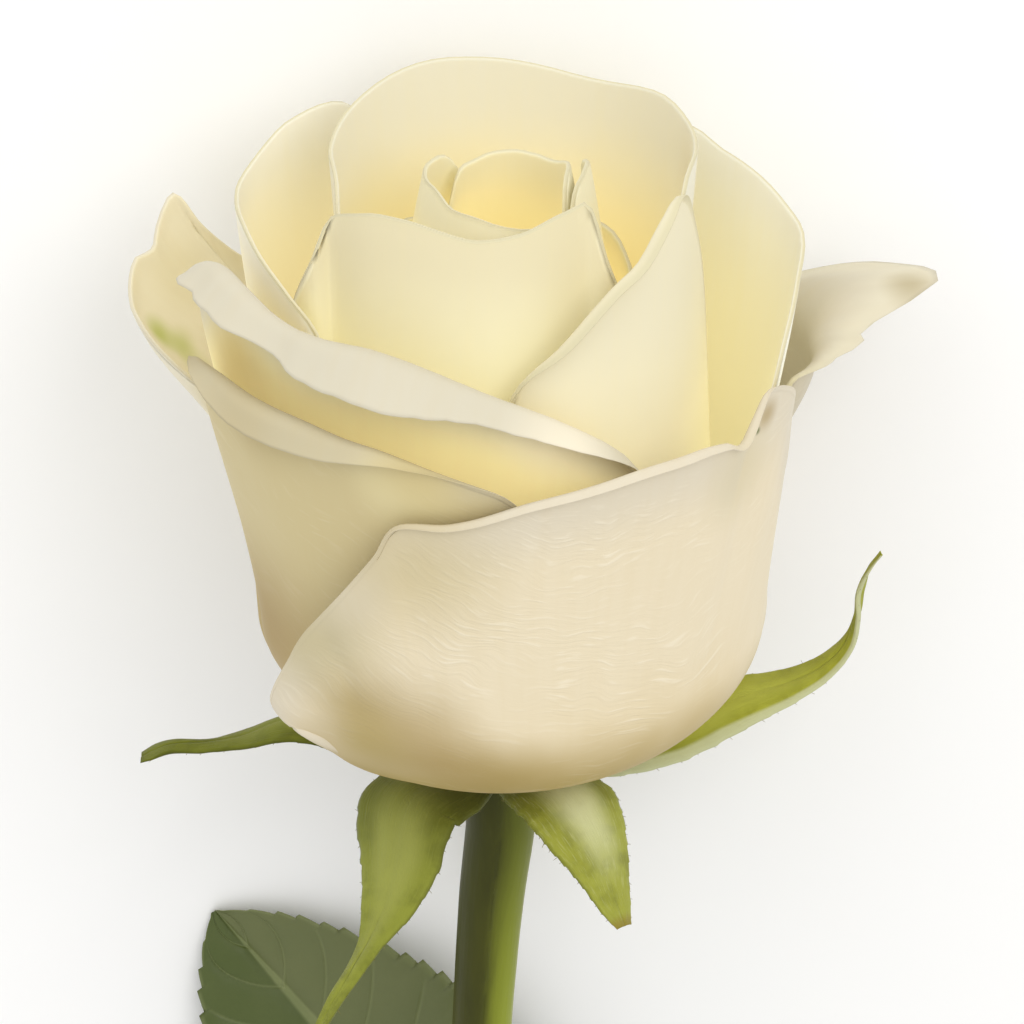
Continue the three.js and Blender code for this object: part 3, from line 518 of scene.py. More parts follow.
def petal_skin(name, rim, body, foot, low, high, depth=None, painted_glow=0.0, wrinkles_and_highlight=0.0, stains_and_painted_light=(),
               rim_from=0.86):
    """A petal's skin: foot, body and rim along t, then a painted shade low in the bloom, and
    stains.

    depth is that shade with the heights where it starts and is full; where it glows it is painted
    light for light that comes through and between the petals. The wrinkle share gives the wrinkles,
    whose lighter streaks are a painted highlight. A stain is a shade, its place in the bloom, where
    it is full and where it ends, and its share; some are painted shade or painted highlight.
    """
    skin = Finish(name, Roughness=0.55, Specular_IOR_Level=0.2, Sheen_Weight=0.05,
                  Sheen_Roughness=0.5, Emission_Strength=painted_glow)
    skin.material.cycles.emission_sampling = "NONE"
    uv, _, t = skin.chart()
    home, (x, height, _) = at_home(skin)
    mottle = skin.cloud(home, (1, 1, 1), 110, 2)
    climb = t + (mottle - 0.5) * 0.14
    colour = skin.blend(skin.step(climb, low, high), tone(foot), tone(body))
    if depth:
        # Painted shade low in the bloom: golden where it glows, as painted light for light that
        # comes through and between the petals, and darker along the bottom of the front petal.
        shade, top, bottom = depth
        deep = skin.step(height + (mottle - 0.5) * 0.003, top * MM, bottom * MM)
        deep = deep * skin.step(t, 0.82, 0.74)
        colour = skin.blend(deep, colour, tone(shade))
        skin.feed("Emission Color", skin.blend(deep, tone(0), tone(shade)))
    colour = skin.blend(skin.step(t, rim_from, rim_from + 0.1), colour, tone(rim))
    veins = skin.cloud(uv, (110, 5, 1), 1, 2)
    colour = skin.blend(skin.step(veins, 0.35, 0.75) * 0.06, colour, tone(foot))
    relief = mottle * 0.3
    if wrinkles_and_highlight:
        lines = wrinkles(skin, home, x, height)
        patches = skin.step(skin.cloud(home, (1, 1, 1), 60), 0.32, 0.62)
        where = skin.step(t, 0.84, 0.7) * skin.step(t, 0.05, 0.2) * patches
        # The lighter streaks along the creases are a painted highlight where their ridges catch
        # light; the relief below is the real wrinkling.
        colour = skin.blend(skin.step(lines, 0.04, 0.2) * where * 0.36 * wrinkles_and_highlight, colour,
                            tone(0xF6EEDA))
        relief = relief + lines * where * wrinkles_and_highlight * 0.7
    for shade, place, near, far, share in stains_and_painted_light:
        gap = skin.node("ShaderNodeVectorMath", {"operation": "DISTANCE"},
                        {0: home, 1: Vector(place) * MM}, 1)
        edge = skin.step(gap + (mottle - 0.5) * 0.25 * (far - near) * MM, far * MM, near * MM)
        colour = skin.blend(edge * share, colour, tone(shade))
    skin.feed("Base Color", colour)
    skin.relief(relief, 0.16)
    skin.feed("Roughness", mottle * 0.14 + 0.46)
    return skin.material


OUTER = dict(rim=0xDCD4BC, foot=0xCDB67E, low=0.1, high=0.55)
# The inner rim tone is darker than the inner bodies: painted shade that keeps the lit edges of the
# inner petals from showing as bright lines.
INNER = dict(rim=0xD8D0AE, foot=0xF0E4AC, low=0.1, high=0.6)
SKINS = {
    # On the front petal the large darker stains, on the left margin, in the valley, along the
    # bottom and in the upper part, are painted shade, and so are the greyer rim tone below the roll
    # and the depth shade along the bottom; the pale spot on the left flap is a painted highlight,
    # and the two small spots near the notch are real brown and green marks.
    "petal_front": petal_skin("front_petal_skin", body=0xE4D7BA, wrinkles_and_highlight=1.0, rim_from=0.68, stains_and_painted_light=[
        (0xB9AD80, (-16, 24, 20), 0, 9.5, 0.8), (0xA48C46, (-1, 10, 22.6), 0, 8.5, 0.6),
        (0xA8945A, (-12.6, 17, 21.2), 0, 7, 0.75), (0xAC9764, (-8.6, 16, 23), 0, 9, 0.6),
        (0xA68E54, (-5.6, 12.6, 23.4), 0, 8.6, 0.65), (0xAC9858, (-11.6, 13.4, 21.2), 0, 6.4, 0.7),
        (0xF4EAD0, (-18.2, 12.6, 15.7), 0.5, 3.4, 0.8),
        (0xC8B98C, (-7.4, 34, 25), 0, 12, 0.7), (0xD0C4A0, (22, 38, 16), 0.5, 7, 0.6),
        (0xA8905A, (24, 42.6, 13), 0.1, 2.4, 0.7),
        (0x5E6A2C, (23.3, 41.3, 14), 0.1, 0.6, 0.9)],
        depth=(0xAF9856, 17, 6), **OUTER | {"rim": 0xDAD0BA}),
    # On the left petal the large dark stain low on the left is painted shade; the small dark speck
    # is a real mark.
    "petal_left": petal_skin("left_petal_skin", body=0xCFC091, wrinkles_and_highlight=0.25, rim_from=0.74, stains_and_painted_light=[
        (0xA38A56, (-20.5, 17.5, 8.5), 0, 15, 0.85), (0xE2D6A6, (-9, 41, 26), 1, 7, 0.7),
        (0xB9A674, (-21, 44, 15), 1, 7, 0.5), (0xC8B47A, (-7.4, 43.6, 26.4), 1, 6, 0.5),
        (0x6E5A30, (-27.6, 43.4, 9), 0.1, 0.5, 0.8)],
        **OUTER | {"rim": 0xC9BE9E}),
    "petal_behind": petal_skin("behind_petal_skin", body=0xE6D8B8, wrinkles_and_highlight=0.8, **OUTER),
    "petal_far_left": petal_skin("far_left_petal_skin", body=0xEEE6CC, wrinkles_and_highlight=0.3, stains_and_painted_light=[
        (0xB3BC4C, (-31.9, 40, -6), 0.3, 2.8, 0.8), (0xB3BC4C, (-28.8, 39.5, -6.5), 0.3, 2.6, 0.8),
        (0xBCC062, (-29, 36, -6), 0.3, 3.4, 0.6), (0xD3C48E, (-29, 44, -11), 1, 5, 0.3),
        (0x6E5A30, (-29.4, 43.2, -5), 0.1, 0.5, 0.8)], **OUTER),
    "petal_far_right": petal_skin("far_right_petal_skin", body=0xCCC3AD, wrinkles_and_highlight=0.4, stains_and_painted_light=[
        (0xA8986E, (38.3, 44.6, -9.5), 0.5, 4, 0.8)], **OUTER),
    # On the rolled petal the golden stain on the left is painted shade in the gap between petals,
    # the pale stain is painted light on the end of its band where shadow falls, and the depth shade
    # glows as painted light.
    "petal_rolled": petal_skin(
        "rolled_petal_skin", body=0xF2EABC, wrinkles_and_highlight=0.15, rim_from=0.7, stains_and_painted_light=[
        (0xD2B868, (-25, 46, 9.5), 0, 7, 0.7), (0xF2E8D0, (5.6, 44.4, 23.6), 0, 7.5, 0.8)],
        depth=(0xF0E2A6, 51, 42), painted_glow=0.26, **OUTER | {"rim": 0xD2CBB6}),
    # Low in the inner petals and the heart a golden painted shade glows: painted light for light
    # that comes through and between the petals.
    "petal_right": petal_skin("right_petal_skin", body=0xF8F6EA, depth=(
        0xF4F0D0, 58, 32), painted_glow=0.21, **INNER),
    "petal_left_back": petal_skin("left_back_petal_skin", body=0xF6F2E2, depth=(
        0xF4ECCA, 60, 44), painted_glow=0.19, **INNER),
    "petal_inner_front": petal_skin("inner_front_petal_skin", body=0xE6DCB8, depth=(
        0xF0EAC4, 60, 46), painted_glow=0.1, **INNER),
    "petal_front_right": petal_skin("front_right_petal_skin", body=0xE8E0C2, depth=(
        0xF2EAC6, 56, 32), painted_glow=0.2, **INNER),
    "petal_back": petal_skin("back_petal_skin", body=0xEAE6D4, depth=(0xF2E6B4, 58, 44), stains_and_painted_light=[
        (0xDCCEA8, (15, 57, -6), 1, 6, 0.5)], painted_glow=0.17, **INNER),
    "petal_below": petal_skin("below_petal_skin", body=0xEADFC2, **OUTER),
    "heart": petal_skin("heart_skin", body=0xF2ECCE, depth=(0xF4E8B4, 60, 50), painted_glow=0.2, **INNER),
}
print("petal skins:", len(SKINS))

# %% [markdown]
# ## The petals
# With the form and the skin at hand, each petal is one bent grid. Its solid stays in the model for
# contact, and the new piece stands for it. The thickness comes last, evenly to both sides of the
# sheet, and fades out at the rim.

# %% Grow the petals
EXTRAS = {
    "petal_front": dict(dents=[(0.19, 0.80, 0.10, 0.12, -0.9), (0.2, 1.0, 0.08, 0.1, 0.6),
                               (0.24, 0.9, 0.012, 0.1, -0.35), (0.6, 0.94, 0.014, 0.07, -0.5)],
                        bites=[(0.577, 0.014, 0.7), (0.64, 0.05, 0.4)],
                        laps=[(0.17, 0.06, -0.5), (0.43, 0.22, -0.55)],
                        ripple=0.2),
    "petal_rolled": dict(nick=0.16, ripple=0.2, laps=[(0.462, 0.034, -1.3), (0.55, 0.06, 1.1)]),
    "petal_left": dict(nick=0.07, ripple=0.25, laps=[(0.46, 0.12, 0.5)]),
    "petal_far_left": dict(wave=0.7, bites=[(0.512, 0.03, 1.5), (0.58, 0.01, 0.3)],
                           dents=[(0.52, 0.92, 0.012, 0.12, -0.6), (0.47, 0.9, 0.03, 0.1, 0.5)]),
    "petal_inner_front": dict(ripple=0.5),
    "petal_back": dict(ripple=0.5, bites=[(0.55, 0.5, 0.7)],
                       dents=[(0.72, 0.85, 0.05, 0.2, -0.5), (0.4, 0.9, 0.06, 0.2, 0.5)]),
    "petal_far_right": dict(laps=[(0.436, 0.014, -1.4), (0.463, 0.018, -3.0)]),
    "petal_right": dict(wave=0.5),
}
# Columns and rows of the grids.
PLAIN_GRID = (96, 60)
FINE_GRIDS = {"petal_front": (200, 84), "petal_rolled": (150, 76), "petal_far_left": (140, 72),
              "petal_far_right": (140, 76), "petal_left": (130, 72)}
for seed, (name, petal) in enumerate(PETALS.items()):
    bm = bmesh.new()
    columns, rows = FINE_GRIDS.get(name, PLAIN_GRID)
    bend_grid(bm, columns, rows, petal_form(seed, **petal, **EXTRAS.get(name, {})))
    piece = finished(bm, name + "_skin", FROM_BLOOM, SKINS[name], [name],
                     PETAL_THICK)
    print(piece.name, len(piece.data.polygons), "cells")

# %% Roll the heart
HEART_SEED = 20
bm = bmesh.new()
for seed, petal in enumerate(HEART, HEART_SEED):
    bend_grid(bm, 64, 44, petal_form(seed, **petal, wave=0.12))
finished(bm, "heart_petals", FROM_BLOOM, SKINS["heart"], ["heart"], PETAL_THICK)
print("heart petals:", len(HEART))

# %% [markdown]
# ## The hip and the sepals
# Under the petals sits the hip, a small green urn turned about the stem's axis, and from its brim
# five sepals fold back. A sepal is a narrow leaf: felty olive near the hip, greener towards its
# twisted tip, with a toothed edge that carries short hairs. The urn is spun from its side line.
# The sepals are bent grids again, because each has its own twist, and each met another light.

# %% Mix the greens
def green_skin(name, deep, fresh, pale, rough=0.55, felt=0.0, dew=0.15, tip=0.0, hem=0.0):
    """A sepal's skin: felty olive near its foot, fresh green on, a pale streak in the middle.

    tip is the share of brown at the very end, and hem that of a pale strip along one edge.
    """
    skin = Finish(name, Roughness=rough, Specular_IOR_Level=dew, Sheen_Weight=felt,
                  Sheen_Roughness=0.6)
    uv, u, t = skin.chart()
    spot = skin.node("ShaderNodeTexCoord", output="Object")
    mottle = skin.cloud(spot, (1, 1, 1), 420, 4)
    blotch = skin.cloud(spot, (1, 1, 1), 70, 2)
    edge = abs(u - 0.5) * 2
    colour = skin.blend(skin.step(t + (blotch - 0.5) * 0.3, 0.12, 0.5), tone(deep), tone(fresh))
    colour = skin.blend(skin.step(mottle, 0.4, 0.7) * 0.45, colour, tone(deep))
    middle = skin.step(edge + (blotch - 0.5) * 0.9, 0.75, 0.15) * skin.step(t, 0.85, 0.4)
    middle = middle * skin.step(t, 0.1, 0.35)
    colour = skin.blend(middle * 0.8, colour, tone(pale))
    colour = skin.blend(skin.step(edge, 0.9, 1.0) * 0.6, colour, tone(deep))
    fibres = skin.cloud(uv, (64, 12, 1), 1, 3)
    colour = skin.blend(skin.step(fibres, 0.5, 0.75) * 0.22, colour, tone(pale))
    strip = skin.step(u + (blotch - 0.5) * 0.1, 0.17, 0.1)
    colour = skin.blend(strip * hem, colour, tone(0xC8CAA0))
    colour = skin.blend(skin.step(t, 0.93, 0.99) * tip, colour, tone(0x8E7A30))
    skin.feed("Base Color", colour)
    skin.relief(fibres * 0.5 + mottle * 0.8, 0.14)
    return skin.material


sepal_skin = green_skin("sepal_skin", 0x666A1A, 0x9CA03C, 0xE4E6B6, felt=0.08, tip=0.7)
lime_skin = green_skin("lime_sepal_skin", 0x7E8020, 0xA6A836, 0xB2B44C, felt=0.05, hem=0.85)
felt_skin = green_skin("felt_sepal_skin", 0x585C16, 0x8A9032, 0x989C4C, felt=0.08)
shade_skin = green_skin("shade_sepal_skin", 0x45490C, 0x70761C, 0x8C9238, felt=0.05)
# The hip's olive is darker than its own green: partly painted shade, for the shadow under the bloom
# where it sits.
hip_skin = green_skin("hip_skin", 0x424610, 0x5A5E1C, 0x72762E)
hair_skin = Finish("hair_skin", Roughness=0.6)
hair_spot = hair_skin.node("ShaderNodeTexCoord", output="Object")
hair_skin.feed("Base Color", hair_skin.blend(hair_skin.cloud(hair_spot, (1, 1, 1), 500),
                                             tone(0x5A5A22), tone(0x8C7B3A)))
print("greens:", sepal_skin.name, hair_skin.material.name)

# %% Turn the hip
HIP = [(0, -5), (2.9, -5), (3.2, -3.9), (3.7, -2.3), (4.4, -1), (4.6, 0.1), (3.7, 0.4),
       (3.7, 8.6), (0, 8.6)]
HIP_STEPS = 48
bm = bmesh.new()
side = bent_strip([(r, h, 0) for r, h in HIP])
profile = [bm.verts.new(side(k / HIP_STEPS)[:3]) for k in range(HIP_STEPS + 1)]
edges = [bm.edges.new(pair) for pair in zip(profile, profile[1:])]
bmesh.ops.spin(bm, geom=profile + edges, axis=(0, 1, 0), cent=(0, 0, 0), steps=HIP_STEPS,
               angle=math.radians(360), use_merge=True)
bmesh.ops.remove_doubles(bm, verts=bm.verts, dist=WELD)
finished(bm, "hip_urn", FROM_BLOOM, hip_skin, ["calyx"])
print("hip side line:", len(profile), "points")

# %% Bend the sepals
SEPALS = {
    "sepal_front_left": [
        (-38, 3.4, -2.2, 6, 0), (-43, 8, -1.8, 10.6, 0), (-44.5, 12, -2.2, 11.6, 0),
        (-37, 15.6, -6, 8.8, 0), (-35, 18.2, -8.8, 6.2, 0), (-35, 21, -11.6, 3.2, 4),
        (-36.3, 23, -14, 2, 8), (-37.7, 25.2, -16.4, 1.5, 12), (-39.5, 27.2, -19.6, 1.1, 12),
        (-41, 29, -22.6, 0.8, 12)],
    "sepal_front_right": [
        (35, 3.4, -2.2, 6, 0), (35, 7.6, -1.7, 9.8, 0), (36.5, 11.4, -2, 10.4, 0),
        (36.5, 15.2, -5.2, 7.6, -4), (35.5, 18.2, -8.4, 4, -6), (35.4, 20, -10.2, 1.8, -8)],
    "sepal_left": [
        (-104, 3.4, -2.2, 5, 0), (-102, 9, -2.2, 7, 2), (-101, 15, -1.1, 7.2, 4),
        (-100, 20, -0.8, 6.4, 5), (-100, 24.6, -2.6, 4.4, 5), (-100, 28.4, -3.7, 2.7, 4),
        (-100, 31.6, -4.1, 2.3, 2), (-100, 33.4, -4.9, 3.2, -4), (-99.6, 34.6, -5.5, 2.4, -8)],
    "sepal_right": [
        (106, 3.4, -2.2, 5, 4), (102, 9, -2.3, 7.4, 16), (98, 16, -0.4, 7.6, 26),
        (99, 22.5, 2, 6.6, 20), (100, 27.6, 3.1, 4.6, 14), (101, 31.2, 4.4, 3.2, 8),
        (101, 33.5, 6.8, 2.2, 2), (101, 34.4, 9.8, 1.6, -10), (101, 34.5, 12.4, 1.4, -20),
        (100.5, 35.1, 14.8, 2.1, -20), (100, 36.2, 16.8, 0.9, -20)],
    "sepal_back": [
        (178, 3.4, -2.2, 5, 0), (178, 8, -3.2, 8, 0), (178, 12.6, -6.4, 7.6, 0),
        (180, 16.4, -11.4, 5.6, 0), (182, 18.6, -17.6, 3.4, 0), (184, 19.2, -24, 2, 0),
        (186, 18.8, -30, 1.1, 0)],
}
SEPAL_THICK = 0.5
SEPAL_TEETH = 15
SEPAL_SKINS = {"sepal_front_left": felt_skin, "sepal_left": shade_skin, "sepal_right": lime_skin}
HAIRS = 44
HAIR_ROOT = 0.05


def sepal_form(rows, seed):
    """Gives place(u, t) on a sepal, and the frame and width of its middle line at t.

    A row is an angle round the axis, a reach, a height, a width and a twist.
    """
    angle = math.radians(rows[0][0])
    line = bent_strip([(d * math.sin(math.radians(a)), h, d * math.cos(math.radians(a)), w, twist)
                       for a, d, h, w, twist in rows])

    def frame_at(t):
        x, y, z, width, twist = line(t)
        along = (Vector(line(min(1, t + 0.02))[:3]) - Vector(line(max(0, t - 0.02))[:3]))
        along.normalize()
        side = Vector((math.cos(angle), 0, -math.sin(angle)))
        side = (side - along * side.dot(along)).normalized()
        side.rotate(Matrix.Rotation(math.radians(twist), 3, along))
        return Vector((x, y, z)), along, side, side.cross(along), width

    def place(u, t):
        spot, along, side, up, width = frame_at(t)
        share = u * 2 - 1
        saw = (t * SEPAL_TEETH + seed * 0.37) % 1
        tooth = (0.03 * saw ** 2 + wander(t * 30, seed, 0.03)) * ease(t * 6) * ease(6 - t * 6)
        width *= 0.94 + tooth * abs(share) ** 3
        keel = -0.12 * width * (1 - share * share) + 0.12 * math.exp(-(share / 0.12) ** 2)
        return (spot + side * (share * width / 2) + up * (keel + wander(t * 5 + u, seed + 3, 0.5))
                + along * (0.12 * saw * abs(share) ** 4 * ease(t * 6)))
    return place, frame_at


hairs = bmesh.new()
for seed, (name, rows) in enumerate(SEPALS.items()):
    place, frame_at = sepal_form(rows, seed)
    bm = bmesh.new()
    bend_grid(bm, 24, 96, place)
    finished(bm, name + "_blade", FROM_BLOOM, SEPAL_SKINS.get(name, sepal_skin), ["calyx"],
             SEPAL_THICK)
    for k in range(HAIRS):
        t = 0.1 + 0.88 * k / HAIRS + wander(k * 3.1, seed, 0.01)
        edge = k % 2
        _, along, side, up, _ = frame_at(t)
        lean = side * (edge * 2 - 1) + along * (0.5 + wander(k, seed, 1.2))
        lean = (lean + up * wander(k, 3, 1.5)).normalized()
        reach = 0.14 + abs(wander(k * 1.7, seed, 0.6))
        turn = Vector((0, 0, 1)).rotation_difference(lean).to_matrix().to_4x4()
        middle = place(edge, t) + lean * (reach / 2 - HAIR_ROOT)
        bmesh.ops.create_cone(hairs, cap_ends=True, segments=4, radius1=0.035, radius2=0.015,
                              depth=reach, matrix=Matrix.Translation(middle) @ turn)
finished(hairs, "sepal_hairs", FROM_BLOOM, hair_skin.material)
print("sepals:", len(SEPALS), "with", HAIRS, "hairs each")

# %% [markdown]
# ## The stem
# The stem is a smooth cane, a little thicker at the hip and at the cut, olive and waxy. Its dark
# side is painted shade and its bright green side painted light from the lamps, dimmed near the hip,
# and a pale stripe on it is a painted highlight. It is a grid rolled into a tube, and the cosine of
# the turn round it makes its colour change softly. The prickles are hooked cones that grow out
# of its skin, so their roots start inside it.

# %% Mix the stem's skin
# The turns round the stem where the painted light and the painted highlight are fullest.
PAINTED_LIGHT_SIDE = 0.82
PAINTED_HIGHLIGHT_SIDE = 0.74
stem_skin = Finish("stem_skin", Roughness=0.45, Specular_IOR_Level=0.2)
uv, u, t = stem_skin.chart()
spot = stem_skin.node("ShaderNodeTexCoord", output="Object")
streaks = stem_skin.cloud(uv, (26, 30, 1), 1, 3)
mottle = stem_skin.cloud(spot, (1, 0.25, 1), 300, 3)
# The dark olive is painted shade on the side away from the lamps, the bright green is painted light
# on the side that faces them, dimmed near the hip as painted shade under the bloom, and the pale
# stripe is a painted highlight.
turned = (u + (streaks - 0.5) * 0.05 - PAINTED_LIGHT_SIDE) * math.tau
painted_light = stem_skin.step(turned.sum("COSINE", turned), 0.25, 1.0)
pale = stem_skin.step(abs(u - PAINTED_HIGHLIGHT_SIDE), 0.09, 0.0)
colour = stem_skin.blend(mottle, tone(0x2E3006), tone(0x4C4E0C))
colour = stem_skin.blend(painted_light * stem_skin.step(t, -0.1, 0.16), colour, tone(0x8C962A))
colour = stem_skin.blend(pale * 0.5, colour, tone(0xB2B48C))
colour = stem_skin.blend(stem_skin.step(mottle, 0.62, 0.75) * 0.2, colour, tone(0x9AA060))
stem_skin.feed("Base Color", colour)
stem_skin.relief(streaks * 0.6 + mottle * 0.5, 0.1)
prickle_skin = Finish("prickle_skin", Roughness=0.4)
t = prickle_skin.chart()[2]
prickle_skin.feed("Base Color", prickle_skin.blend(prickle_skin.step(t, 0.15, 0.7),
                                                   tone(0x7F8A3E), tone(0x8E5A34)))
print("stem finishes:", stem_skin.material.name, prickle_skin.material.name)


# %% Draw the stem
def tube_form(rows, ridge):
    """Gives place(u, t) on the skin of a tube along rows of x, y, z and radius."""
    line = bent_strip(rows)

    def frame_at(t):
        x, y, z, radius = line(t)
        along = Vector(line(min(1, t + 0.01))[:3]) - Vector(line(max(0, t - 0.01))[:3])
        along.normalize()
        front = (Vector((0, 0, 1)) - along * along.z).normalized()
        return Vector((x, y, z)), front, along.cross(front), radius

    def place(u, t):
        middle, front, right, radius = frame_at(t)
        radius *= 1 + ridge * noise.noise(Vector((u * 5, t * 40, 4)))
        turn = u * math.tau
        return middle + right * (radius * math.sin(turn)) + front * (radius * math.cos(turn))
    return place, frame_at


STEM = [(0, -2.4, 0, 3.2), (0, -7.3, 0, 3.3), (0, -9.4, 0, 3.3), (-0.9, -18, 0, 3.1),
        (-1.9, -34, 0, 2.85), (-3.1, -60, 0.2, 2.8), (-4.2, -100, 0.6, 2.8), (-4, -150, 0.8, 2.9),
        (-2.4, -200, 0.6, 3.1), (-0.4, -238, 0.52, 3.2)]
# A prickle is its share of the stem's length and its angle round the stem.
PRICKLES = [(0.52, 60), (0.6, 200), (0.68, -60), (0.8, 100), (0.88, -20)]
PRICKLE_ROOT = 0.7
PRICKLE_LONG = 4.9
PRICKLE_WIDE = 1.9
PRICKLE_HOOK = 2.1
bm = bmesh.new()
place, stem_frame = tube_form(STEM, ridge=0.015)
bend_grid(bm, 48, 200, place, tube=True)
finished(bm, "stem_cane", FROM_BLOOM, stem_skin.material, ["stem"])
bm = bmesh.new()
for share, angle in PRICKLES:
    middle, _, _, radius = stem_frame(share)
    out = Vector((math.sin(math.radians(angle)), 0, math.cos(math.radians(angle))))
    along = Vector((0, 1, 0))
    side = out.cross(along)

    def hook(u, t):
        reach = PRICKLE_LONG * t - PRICKLE_ROOT
        size = 0.12 + PRICKLE_WIDE * (1 - t) ** 1.7
        turn = u * math.tau
        foot = middle + out * (radius + reach) - along * (PRICKLE_HOOK * t ** 2)
        return foot + along * (size * math.cos(turn)) + side * (0.55 * size * math.sin(turn))
    bend_grid(bm, 16, 14, hook, tube=True)
finished(bm, "stem_prickles", FROM_BLOOM, prickle_skin.material)
print("stem with", len(PRICKLES), "prickles")

# %% [markdown]
# ## The leaves
# A rose leaf is several toothed leaflets on one stalk, with a narrow wing (the stipule) near the
# stem. The stalk starts inside the stem, so it grows out of it without a gap. The blade is
# quilted: side veins run from the midrib to the teeth and pull it down, and it swells between
# them. The same sum that quilts the sheet also colours the veins, so the two agree. The teeth
# lean forward, towards the leaflet's tip.

# %% Mix the leaf skins
LEAF_VEINS = 9.0


def leaf_skin(name, green_in_painted_shade, light, vein):
    """A blade's skin: painted shade and painted light to the two sides of the midrib, and paler
    veins.
    """
    skin = Finish(name, Roughness=0.42, Specular_IOR_Level=0.35)
    _, u, t = skin.chart()
    spot = skin.node("ShaderNodeTexCoord", output="Object")
    across = abs(u - 0.5) * 2
    mottle = skin.cloud(spot, (1, 1, 1), 160, 4)
    cells = skin.cloud(spot, (1, 1, 1), 900, 2)
    along = (t - across * 0.2) * LEAF_VEINS
    ribs = abs(along.sum("FRACT", along) - 0.5) * 2
    side_veins = skin.step(ribs, 0.86, 1.0) * skin.step(across, 1.0, 0.7)
    midrib = skin.step(across, 0.07, 0.03)
    # One half of the blade is painted shade and the other is painted light and sheen.
    half = skin.step(u + (mottle - 0.5) * 0.06, 0.47, 0.53)
    colour = skin.blend(half * 0.55 + mottle * 0.35, tone(green_in_painted_shade), tone(light))
    colour = skin.blend(side_veins * 0.22, colour, tone(vein))
    colour = skin.blend(midrib * 0.5, colour, tone(vein))
    colour = skin.blend(skin.step(across, 0.93, 1.0) * 0.35, colour, tone(vein))
    skin.feed("Base Color", colour)
    skin.feed("Roughness", mottle * 0.25 + 0.3)
    skin.relief(cells * 0.5 + mottle * 0.5 - side_veins * 0.6, 0.12)
    return skin.material


blade_skin = leaf_skin("leaf_blade_skin", 0x46541F, 0x6C7148, 0x8A9260)
stalk_skin = green_skin("leaf_stalk_skin", 0x4C5F28, 0x788A3E, 0x8B8A50, rough=0.5)
print("leaf finishes:", blade_skin.name, stalk_skin.name)


# %% Bend the leaflets
def leaflet_form(x, y, z, heading, length, width, middle, tip, teeth):
    """Gives place(u, t) on a leaflet; z, middle and tip are its heights over the table."""
    turn = math.radians(heading)
    ahead = Vector((-math.sin(turn), math.cos(turn), 0))
    side = Vector((ahead.y, -ahead.x, 0))

    def place(u, t):
        share = u * 2 - 1
        half = width / 2 * math.sin(math.pi * min(1, t ** 0.82 * 0.97 + 0.03)) ** 0.72
        saw = (t * teeth) % 1
        edge = ease(t * 10) * ease(10 - t * 10)
        half *= 0.97 + 0.05 * saw * edge * abs(share) ** 4 + wander(t * 6, heading, 0.03)
        height = mix(mix(z, middle, ease(t * 2)), tip, ease(t * 2 - 1))
        reach = share * max(half, 0.5)
        fold = 0.16 * abs(reach) - 0.35 * math.sin(t * 9 + share * 2) * abs(share)
        vein = abs((t - abs(share) * 0.2) * LEAF_VEINS % 1 - 0.5) * 2
        quilt = 0.3 * (1 - vein ** 3) * ease(abs(share) * 5) * ease(4 - abs(share) * 4) * edge
        midrib = -0.25 * math.exp(-(share / 0.06) ** 2)
        lean = 0.6 * saw * edge * abs(share) ** 5
        return (Vector((x, y, height)) + ahead * (length * t + lean) + side * reach
                + Vector((0, 0, fold + quilt + midrib)))
    return place


LEAVES = {
    "leaf_upper": dict(
        stalk=[(-3.8, -31.5, 13.2, 1.9), (-1.9, -28, 10, 1.5), (0.6, -18, 6.6, 0.9),
               (3.2, -7, 3.4, 0.8), (4.2, 5, 2.2, 0.7), (3.6, 15, 2, 0.7), (2, 22, 2, 0.6)],
        leaflets=[(2.4, 21.4, 2, 40, 47.6, 31.6, 2.6, 0.6),
                  (3.8, 8, 2, 98, 36, 24, 3.4, 0.5),
                  (4.2, 9, 2, -72, 37, 24, 3.4, 0.5)],
        stipule=(-1, -25, 8.4, 12, 13, 4)),
    "leaf_lower": dict(
        stalk=[(-3, -81.6, 9.3, 1.9), (0.95, -78, 8.6, 1.5), (9, -68, 6.6, 0.9),
               (18, -57, 3.6, 0.8), (27, -47, 2.2, 0.7), (35, -38, 2, 0.7), (40, -32, 2, 0.6)],
        leaflets=[(39, -33, 2, -44, 40, 27, 3.4, 0.5),
                  (30, -44, 2, 22, 33, 21, 3.2, 0.5),
                  (31, -43, 2, -112, 33, 22, 3.2, 0.5),
                  (18, -57, 3.4, 26, 26, 17, 3.4, 0.5),
                  (19, -56, 3.4, -118, 27, 18, 3.4, 0.5)],
        stipule=(4.6, -73.4, 7.6, -42, 13, 4)),
}
LEAF_THICK = 0.45
LEAFLET_TEETH = 26
STIPULE_TEETH = 7
STIPULE_FALLS = (2.4, 4.4)
for name, leaf in LEAVES.items():
    bm = bmesh.new()
    bend_grid(bm, 16, 60, tube_form(leaf["stalk"], ridge=0.03)[0], tube=True)
    finished(bm, name + "_stalk", FROM_LEAVES, stalk_skin, [name])
    bm = bmesh.new()
    for row in leaf["leaflets"]:
        bend_grid(bm, 40, 144, leaflet_form(*row, LEAFLET_TEETH))
    heights = [leaf["stipule"][2] - fall for fall in STIPULE_FALLS]
    bend_grid(bm, 12, 48, leaflet_form(*leaf["stipule"], *heights, STIPULE_TEETH))
    finished(bm, name + "_blades", FROM_LEAVES, blade_skin, [name], LEAF_THICK)
    print(name, "has", len(leaf["leaflets"]), "leaflets")

# %% [markdown]
# ## The studio
# The photograph was taken on plain white with broad soft light, so here are a pale floor, a bright
# even sky and large lamps. The rose lies down, because nothing holds it up, and the camera looks
# down on it from the place that it had in front of the standing bloom.

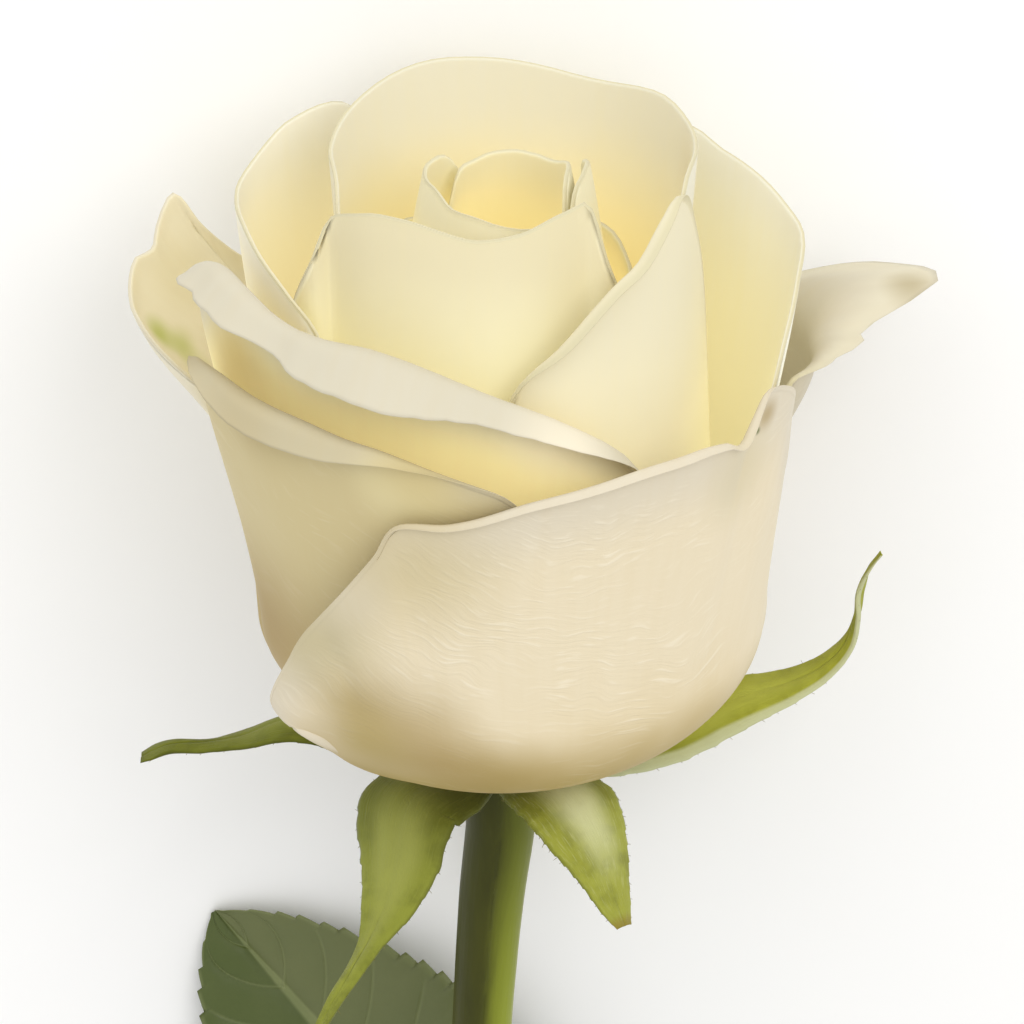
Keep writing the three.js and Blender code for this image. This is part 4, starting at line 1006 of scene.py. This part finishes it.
# %% Lay the floor
bm = bmesh.new()
bmesh.ops.create_grid(bm, x_segments=1, y_segments=1, size=3)
mesh = bpy.data.meshes.new("floor")
bm.to_mesh(mesh)
bm.free()
floor = bpy.data.objects.new("floor", mesh)
bpy.context.scene.collection.objects.link(floor)
paper = Finish("floor_paper", Roughness=0.9, Specular_IOR_Level=0.1)
paper.shader.inputs["Base Color"].default_value = (0.95, 0.95, 0.95, 1)
mesh.materials.append(paper.material)
print("floor:", [round(n, 2) for n in floor.dimensions])

# %% Hang the lamps
scene = bpy.context.scene
scene.view_settings.view_transform = "Standard"
sky = bpy.data.worlds.new("sky")
sky.use_nodes = True
sky.node_tree.nodes["Background"].inputs["Color"].default_value = (1.0, 0.998, 0.99, 1)
sky.node_tree.nodes["Background"].inputs["Strength"].default_value = 0.86
scene.world = sky


def from_bloom(x, height, front):
    return FROM_BLOOM @ Vector((x, height, front))


def lamp(name, place, aim, size, power, colour=(1, 1, 1)):
    """A square soft lamp at a place of the bloom's frame, turned to face its aim."""
    light = bpy.data.lights.new(name, "AREA")
    light.size = size
    light.energy = power
    light.color = colour
    hung = bpy.data.objects.new(name, light)
    hung.location = place
    hung.visible_camera = False
    hung.rotation_euler = (aim - place).to_track_quat("-Z", "Y").to_euler()
    scene.collection.objects.link(hung)


heart_at = from_bloom(0, 30, 0)
lamp("overhead_right", from_bloom(330, 560, 640), heart_at, 0.5, 2.3, (1.0, 0.99, 0.96))
lamp("overhead_left", from_bloom(-300, 620, 420), heart_at, 0.5, 0.8)

# %% Set the camera
EYE_RISE = math.radians(30)
EYE_AWAY = 700.0
FOCAL_PIXELS = 7560
PICTURE_PIXELS = 1024
target = Vector((1.1, 24.9, 0.0))
back = Vector((0, math.sin(EYE_RISE), math.cos(EYE_RISE)))
up = Vector((0, math.cos(EYE_RISE), -math.sin(EYE_RISE)))
turn = FROM_BLOOM.to_3x3().normalized()
view = Matrix((turn @ Vector((1, 0, 0)), turn @ up, turn @ back)).transposed().to_4x4()
view.translation = from_bloom(*(target + back * EYE_AWAY))
lens = bpy.data.cameras.new("camera")
lens.sensor_width = 36
lens.lens = lens.sensor_width * FOCAL_PIXELS / PICTURE_PIXELS
eye = bpy.data.objects.new("camera", lens)
eye.matrix_world = view
scene.collection.objects.link(eye)
scene.camera = eye
print("camera at:", [round(n, 3) for n in view.translation])
